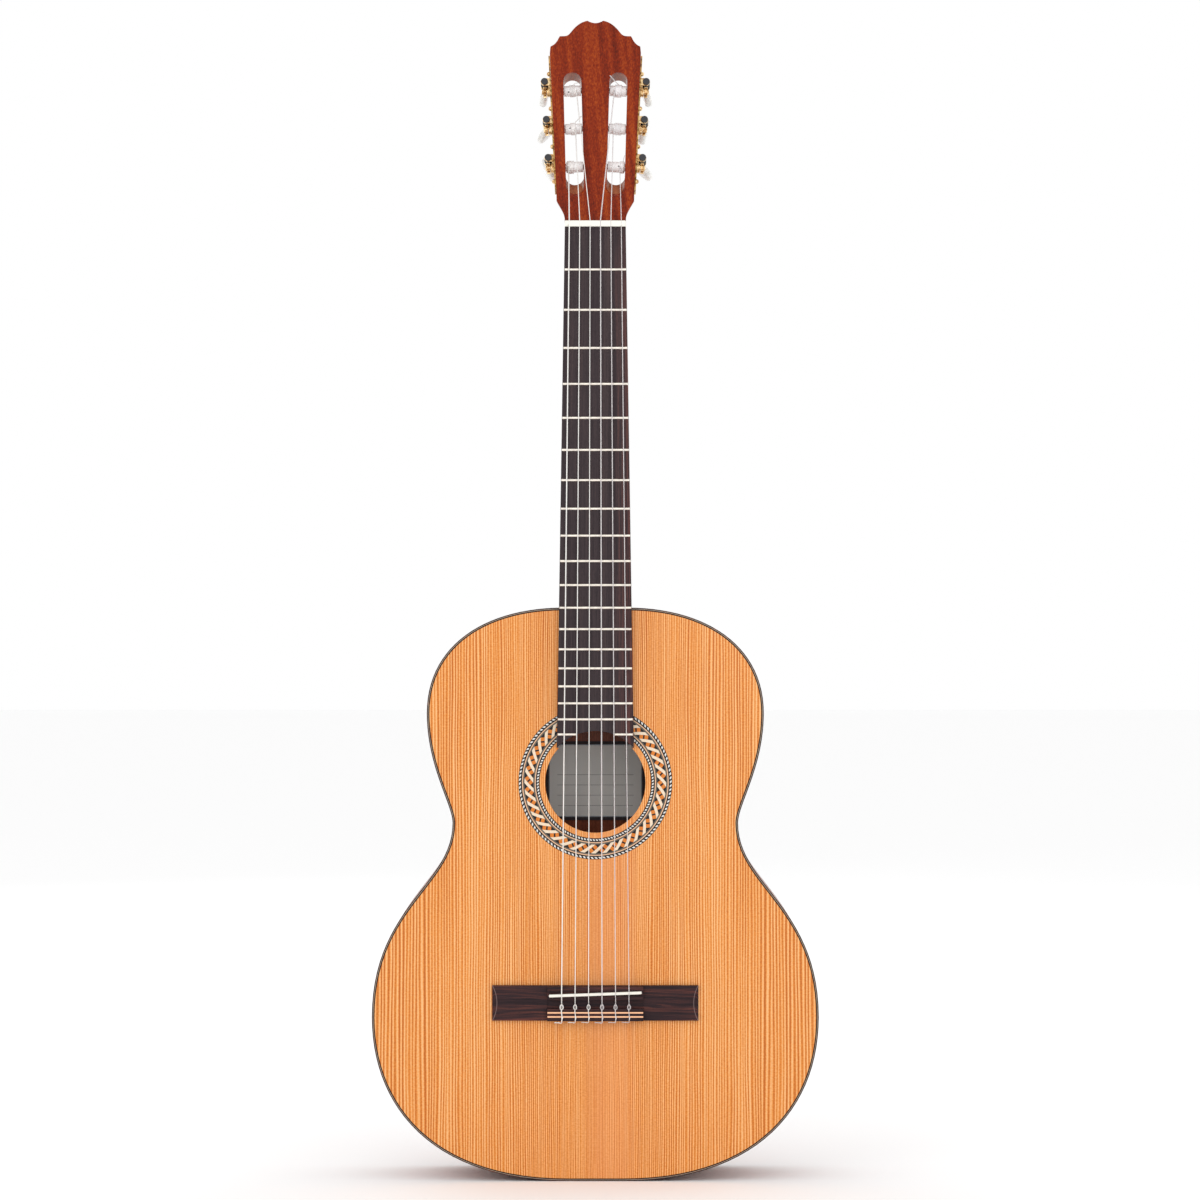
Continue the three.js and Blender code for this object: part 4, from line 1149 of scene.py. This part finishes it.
def make_plate(key, hand):
    """The side plate: scalloped between its stations, with an opening and two ears at each worm."""
    low, high = along_edge(PLATE_LOW), along_edge(PLATE_HIGH)
    back, front = 8, -EAR_Y - EAR_THICK
    edge = [(front, low)]
    stations = [along_edge(s) for s in STATIONS]
    count = 90
    for i in range(count + 1):
        z = low + (high - low) * i / count
        near = min(abs(z - s - WORM_UP / 2) for s in stations)
        edge.append((back - 2.2 * max(0, min(1, (near - 8) / 5)) ** 1.5, z))
    edge += [(front, high)]
    plate = flat_piece([edge] + [ring(3.6, 24, (0, s)) for s in stations], 0.05, 1.2)
    # flat_piece lies in X and Z: its X becomes the plate's depth, its depth the plate's thickness.
    turn = Matrix(((0, 1, 0, 0), (1, 0, 0, 0), (0, 0, 1, 0), (0, 0, 0, 1)))
    moved(plate, turn)
    for s in stations:
        window = box((-1, -4.9, s + WORM_UP - 4.4), (3, 4.9, s + WORM_UP + 3.6))
        plate = cut_away(plate, window)
    round_edges(plate, 0.25)
    moved(plate, edge_frame(hand))
    hand_over(plate, f"tuner_plate_{key}_looks", DULL_SHADED_GOLD, replaces=[f"tuner_plate_{key}"])
    for number, s in enumerate(stations, 1):
        for end, y in (("front", -EAR_Y - EAR_THICK), ("back", EAR_Y)):
            turns = [math.pi * (i / 14 - 0.5) for i in range(15)]
            arch = [(0.9, -EAR_R), (WORM_OUT, -EAR_R)]
            arch += [(WORM_OUT + EAR_R * math.cos(t), EAR_R * math.sin(t)) for t in turns]
            arch += [(0.9, EAR_R)]
            ear = flat_piece([[(x, z + s + WORM_UP) for x, z in arch]], y, y + EAR_THICK)
            round_edges(ear, 0.3)
            moved(ear, edge_frame(hand))
            hand_over(ear, f"worm_ear_{key}_{number}_{end}", GOLD)
    for number, station in enumerate(SCREWS, 1):
        z = along_edge(station)
        place = edge_frame(hand) @ Matrix.Translation(mm(1.2, 0.8, z))
        head = turned([(-0.1, 2.0), (0.5, 2.0), (1.3, 1.75), (1.9, 1.1), (2.1, 0.5)], place, 28)
        hand_over(smooth(head, 50), f"plate_screw_{key}_{number}", GOLD)


def gear_piece():
    """A straight-toothed gear, along its own X, a tooth pointing up."""
    teeth = 14
    rings = []
    for off, twist in ((-1.4, -1), (-1.2, -0.85), (1.2, 0.85), (1.4, 1)):
        x = WORM_OUT + off
        shrink = 0.18 if abs(twist) == 1 else 0
        points = []
        for tooth in range(teeth):
            for offset, radius in ((-0.33, 3.7), (-0.11, 4.78 - shrink), (0.11, 4.78 - shrink), (0.33, 3.7)):
                turn = 2 * math.pi * (tooth + offset) / teeth + twist * 0.03
                points.append((x, radius * math.sin(turn), radius * math.cos(turn)))
        rings.append(points)
    return smooth(loft(rings), 30)


def worm_piece():
    """A helical thread with its shaft, along its own Y."""
    pitch, rows, around = 1.948, 60, 28
    half = 4.9
    rings = []
    for row in range(rows + 1):
        y = -half + 2 * half * row / rows
        points = []
        for i in range(around):
            turn = 2 * math.pi * i / around
            phase = ((y / pitch - turn / (2 * math.pi) + 0.5) % 1) - 0.5
            tall = max(0, min(1, (0.265 - abs(phase)) / 0.13))
            fade = min(1, (half - abs(y)) / 0.8)
            radius = 2.15 + 1.02 * tall * fade
            points.append((radius * math.sin(turn), y, radius * math.cos(turn)))
        rings.append(points)
    return smooth(loft(rings), 40)


def button_piece():
    """A pearl-finish oval button, flat on both faces and well rounded at its rim, along its own Y."""
    oval = turned([(-BUTTON_HALF[0], 1), (BUTTON_HALF[0], 1)], Matrix.Identity(4), 48)
    oval.scale = (1, BUTTON_HALF[1], BUTTON_HALF[2])
    oval.location.y = mm(BUTTON_AT + 1.5 + BUTTON_HALF[1])
    settle(oval)
    return round_edges(oval, 2.7, 6, 50)


def make_tuners():
    along_y = Matrix.Rotation(math.pi / 2, 4, "Z")
    gear = gear_piece()
    worm = worm_piece()
    button = button_piece()
    for key, hand in HANDS.items():
        make_plate(key, hand)
        for number, station in enumerate(STATIONS, 1):
            edge = edge_frame(hand) @ Matrix.Translation(mm(0, 0, along_edge(station)))
            roller, knob = f"roller_{key}_{number}", f"button_{key}_{number}"
            tag = f"{key}_{number}"
            piece = copied(gear, edge)
            hand_over(piece, f"roller_gear_{tag}_looks", GOLD, roller, [f"roller_gear_{tag}"])
            hub = turned(HUB_STEPS, edge)
            hand_over(smooth(hub, 30), f"gear_hub_{tag}", GOLD, roller)
            screw = turned([(7.0, 2.3), (7.6, 2.3), (8.1, 1.9), (8.35, 1.0)], edge, 28)
            hand_over(smooth(screw, 40), f"gear_screw_{tag}", GOLD, roller)
            wall, slot = roller_reach(station)
            steps = [(1.4, 3.4), (-wall - 0.5, 3.4), (-wall - 0.5, 4.3), (-wall - 0.8, 4.6)]
            steps += [(-slot + 0.8, 4.6), (-slot + 0.5, 4.3), (-slot + 0.5, 2.4), (-slot - 5, 2.4)]
            barrel = turned(steps, edge, 40)
            outwards(barrel)
            if STRING_HOLES[key][number - 1]:
                out, down = STRING_HOLES[key][number - 1]
                aim = Matrix.Rotation(math.radians(down), 4, "X") @ Matrix.Rotation(-math.pi / 2, 4, "Z")
                place = edge @ Matrix.Translation(mm(out - edge_half(station), 0, 0)) @ aim
                barrel = cut_away(barrel, turned([(0.5, 0.75), (6, 0.75)], place, 16))
            name = f"string_roller_{tag}"
            hand_over(smooth(barrel, 40), name + "_looks", BARREL, roller, [name])
            axis = edge @ Matrix.Translation(mm(WORM_OUT, 0, WORM_UP))
            piece = copied(worm, axis)
            hand_over(piece, f"worm_{tag}_looks", BLACK_STEEL, knob, [f"worm_shaft_{tag}"])
            shaft = turned([(4.7, 1.6), (8.6, 1.6), (8.6, 1.9), (BUTTON_AT + 0.4, 1.9)], axis @ along_y, 24)
            hand_over(smooth(shaft, 40), f"button_shaft_{tag}", GOLD, knob)
            cap = turned(CAP_STEPS, axis @ along_y, 32)
            hand_over(smooth(outwards(cap), 40), f"worm_cap_{tag}", BLACK_STEEL, knob)
            turn = Matrix.Rotation(math.radians(BUTTON_TURNS[key][number - 1]), 4, "Y")
            piece = copied(button, axis @ turn)
            hand_over(piece, f"tuner_button_{tag}_looks", PEARL, knob, [f"tuner_button_{tag}"])
            steps = [(BUTTON_AT, 2.3), (BUTTON_AT + 0.3, 2.6), (BUTTON_AT + 2.6, 2.6)]
            collar = turned(steps, axis @ along_y, 24)
            hand_over(smooth(collar, 40), f"button_collar_{tag}", PEARL, knob)
            make_winding(key, number, edge, roller)
    for spare in (gear, worm, button):
        bpy.data.objects.remove(spare)


def make_winding(key, number, edge, body):
    """The turns of string on a roller, and the cut end that stands out of them."""
    i = STRING_AT[key][number - 1]
    station = STATIONS[number - 1]
    reach = DRUM_R + STRING_RADII[i]

    def on_edge(out, depth, up):
        """A place given from the head's middle line, in the edge's own frame."""
        return (out - edge_half(station) - up * math.tan(LEAN), depth, up)

    first, last = COILS[key][number - 1]
    arrives = ON_ROLLER[key][number - 1]
    points = []
    steps = 5 * 16
    for step in range(-16, steps + 1):
        turn = -math.pi / 2 - 2 * math.pi * step / 16
        if step < 0:
            out = first + (arrives - first) * -step / 16
        else:
            out = first + (last - first) * step / steps
        points.append(on_edge(out, reach * math.sin(turn), 0)[:2] + (reach * math.cos(turn),))
    finish = BASS_TURNS if i < 3 else TREBLE_TURNS
    coil = wire(points, STRING_RADII[i], 4)
    moved(coil, edge)
    hand_over(coil, f"winding_{key}_{number}", finish, body)
    path = [on_edge(*point) for point in ENDS[key][number - 1]]
    cut_end = wire(path, STRING_RADII[i] * 0.8, 4, smooth_path=True)
    moved(cut_end, edge)
    hand_over(cut_end, f"cut_end_{key}_{number}", WOUND if i < 3 else NYLON, body)


# ---- strings ----
STRING_NAMES = ["E6", "A5", "D4", "G3", "B2", "E1"]


def make_strings():
    roller_of = [2, 1, 0, 0, 1, 2]
    on_roller = ON_ROLLER["bass"][::-1] + ON_ROLLER["treble"]
    for i, name in enumerate(STRING_NAMES):
        radius = STRING_RADII[i]
        hand = -1 if i < 3 else 1
        nut_x, saddle_x = spread(i, AT_NUT), spread(i, AT_SADDLE)
        lift = radius + 0.05
        start = HEAD @ Vector(mm(hand * on_roller[i], AXLE_DEEP - DRUM_R - lift, STATIONS[roller_of[i]]))
        nut_top = TOP_Y - NUT_TALL
        saddle = saddle_z(saddle_x)
        hole_y = TOP_Y - HOLE_UP
        front = BRIDGE_LOW + TIE_DEEP + 0.7
        points = [
            tuple(part / MM for part in start),
            (nut_x, nut_top + 0.55, NUT_Z + NUT_THICK + 0.2),
            (nut_x, nut_top + 0.3, NUT_Z + NUT_THICK - 1),
            (nut_x, nut_top + 0.25, NUT_Z),
            (saddle_x, SADDLE_TOP - lift, saddle + 0.8),
            (saddle_x, SADDLE_TOP - lift + 0.1, saddle - 0.5),
            (saddle_x, SADDLE_TOP - lift + 0.8, saddle - 1.6),
            (saddle_x, hole_y - 0.6, front + 1.5),
            (saddle_x, hole_y, front - 0.4),
            (saddle_x, hole_y, BRIDGE_LOW - lift),
            (saddle_x, hole_y - 0.8, BRIDGE_LOW - lift - 0.35),
            (saddle_x, BRIDGE_TOP + 0.2, BRIDGE_LOW - lift - 0.1),
            (saddle_x + 0.1, BRIDGE_TOP - lift, BRIDGE_LOW + lift),
            (saddle_x + 0.3, BRIDGE_TOP - lift - 0.05, BRIDGE_LOW + 4),
            (saddle_x - 0.2, BRIDGE_TOP - lift - 0.05, BRIDGE_LOW + 8.4),
            (saddle_x - 0.1, BRIDGE_TOP - lift - 0.3, BRIDGE_LOW + TIE_DEEP),
        ]
        finish = WOUND if i < 3 else NYLON
        hand_over(wire(points, radius, 5), f"string_{name}_looks", finish, replaces=[f"string_{name}"])
        make_knot(name, radius, saddle_x, finish)


def make_knot(name, radius, x, finish):
    """The loop round the string in front of the tie block, and the tail across its back edge."""
    z = BRIDGE_LOW + TIE_DEEP + 1.7
    y = BRIDGE_TOP - 0.2
    loop = []
    for step in range(13):
        turn = 2 * math.pi * step / 12 + math.pi / 2
        rise = math.sin(turn)
        loop.append((x + (1.25 - 0.25 * rise) * math.cos(turn), y - 0.4 - 0.5 * rise, z + 2.1 * rise))
    hand_over(wire(loop, radius * 0.95, 4, smooth_path=True), f"knot_{name}", finish)
    tail = [
        (x + 0.9, BRIDGE_TOP - radius - 0.3, BRIDGE_LOW + 3.4),
        (x + 0.2, BRIDGE_TOP - radius * 2 - 0.4, BRIDGE_LOW + 1.2),
        (x - 0.3, BRIDGE_TOP + 0.4, BRIDGE_LOW - radius * 2 - 0.4),
        (x - 2.6, BRIDGE_TOP + 1.5, BRIDGE_LOW - radius * 2 - 0.3),
        (x - 6.2, BRIDGE_TOP + 1.6, BRIDGE_LOW - radius * 2 - 0.2),
    ]
    hand_over(wire(tail, radius * 0.9, 4, smooth_path=True), f"tail_{name}", finish)


# ---- inside and small woods ----
BACK_BRACES = [(95, 168), (205, 160), (405, 132)]


def make_insides():
    finishes = {
        "neck_block": NECK_WOOD,
        "tail_block": NECK_WOOD,
        "tail_graft": ROSEWOOD,
        "upper_transverse_brace": SPRUCE,
        "lower_transverse_brace": SPRUCE,
        "heel_cap": ROSEWOOD,
        "label": LABEL,
    }
    for name, finish in finishes.items():
        dress(name, finish)
    for number in range(1, 6):
        dress(f"fan_brace_{number}", SPRUCE)
    for number, (z, half) in enumerate(BACK_BRACES, 1):
        deep = RIM_Y + deeper(z)
        rings = []
        for x, tall in ((-half, 3), (-half + 30, 11), (0, 14), (half - 30, 11), (half, 3)):
            arch = BACK_ARCH * (1 - (x / 190) ** 2) * 0.55
            back = deep + (0.1 if abs(x) == half else arch * 0.9)
            ridge = back - tall
            rings.append([(x, ridge, z - 2.2), (x, back, z - 3.5), (x, back, z + 3.5), (x, ridge, z + 2.2)])
        hand_over(smooth(loft(rings), 30), f"back_brace_{number}", SPRUCE)
    make_linings()


def dress(node, finish):
    """A CAD node that keeps its own shape gets its finish."""
    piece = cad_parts[node]
    piece.data.materials.clear()
    piece.data.materials.append(finish.material)


def make_linings():
    """Plain strips in the corners between the sides and the two plates."""
    near, far = SIDE_THICK + 0.02, SIDE_THICK + 6
    for edge, y0, y1, lean in (
        ("top", TOP_Y + TOP_THICK + 0.05, TOP_Y + TOP_THICK + 14, False),
        ("back", RIM_Y - 14, RIM_Y - 0.05, True),
    ):
        for key, hand in HANDS.items():
            outer = [p for p in half_outline(near) if 18 < p[1] < 470]
            inner = [p for p in half_outline(far) if 18 < p[1] < 470]
            loop = [(hand * x, z) for x, z in outer + inner[::-1]]
            strip = flat_piece([loop], y0, y1, lean)
            hand_over(smooth(strip, 30), f"{edge}_lining_{key}", SPRUCE)


# ---- finishes ----
set_stage()
CEDAR = cedar_top()
ROSETTE = rosette_mosaic()
ROSEWOOD = rosewood("rosewood")
BRIDGE_WOOD = rosewood("bridge_rosewood", painted_tip_highlight=True)
BOARD_WOOD = fingerboard_wood()
RED_BROWN = (tint(84, 20, 3), tint(132, 40, 9), tint(174, 76, 22))
GLOSS = {"Coat_Weight": 0.12, "Coat_Roughness": 0.12, "Specular_IOR_Level": 0.1}
HEAD_WOOD = grained("head_mahogany", "head_veneer", *RED_BROWN, figure=1.5, **GLOSS)
NECK_WOOD = grained(
    "neck_mahogany", "mahogany_neck", tint(112, 54, 32), tint(154, 84, 52), tint(182, 112, 74), **GLOSS
)
DEEP_BROWN = (tint(100, 46, 29), tint(142, 73, 46), tint(172, 98, 64))
SIDE_WOOD = grained("side_mahogany", "mahogany_body", *DEEP_BROWN, rib=True, **GLOSS)
BACK_WOOD = grained("back_mahogany", "mahogany_body", *DEEP_BROWN, ribbon=9.0, **GLOSS)
SPRUCE_TONES = (tint(198, 160, 108), tint(222, 190, 140), tint(236, 210, 164))
SPRUCE = grained("brace_spruce", "spruce", *SPRUCE_TONES, pores=0.1)
STRIP_WOOD = plain("strip_maple", "maple_strip", tint(252, 190, 146), 0.08, 4)
PALE_LINE = plain("pale_line", "maple_strip", tint(176, 160, 138), 0.08, 8)
DARK_LINE = plain("dark_line", "rosewood", tint(46, 30, 30), 0.15, 8, Specular_IOR_Level=0.1)
BONE = plain("polished_bone", "bone", tint(240, 238, 228), 0.04, 9, 0.3, Coat_Weight=0.2)
NICKEL = metal("fret_nickel", "bone", tint(228, 220, 210), tint(246, 238, 226), 0.32)
GOLD = metal("gold_plate", "gold_metal", tint(168, 118, 60), tint(246, 216, 166), 0.14)
# The plate's gold is a darker copy of the gold: painted shade, with painted dark reflections in its patches.
DULL_SHADED_GOLD = metal("shaded_gold_plate", "gold_metal", tint(112, 72, 30), tint(222, 180, 112), 0.3)
BLACK_STEEL = plain("black_steel", "black_steel", tint(44, 44, 48), 0.2, 3, 0.32, 0.1, 0.03)
PEARL = pearloid()
BARREL = barrel_plastic()
WOUND = wound_string()
NYLON = clear_nylon()
DULL = {"Specular_IOR_Level": 0.2}
BASS_TURNS = plain("bass_turns", "wound_string", tint(248, 245, 243), 0.05, 3, 0.45, **DULL)
TREBLE_TURNS = plain("treble_turns", "nylon_string", tint(252, 249, 250), 0.04, 3, 0.4, **DULL)
LABEL = label_paper()

make_body()
make_neck()
make_fingerboard()
make_nut()
make_bridge()
make_head()
make_tuners()
make_strings()
make_insides()
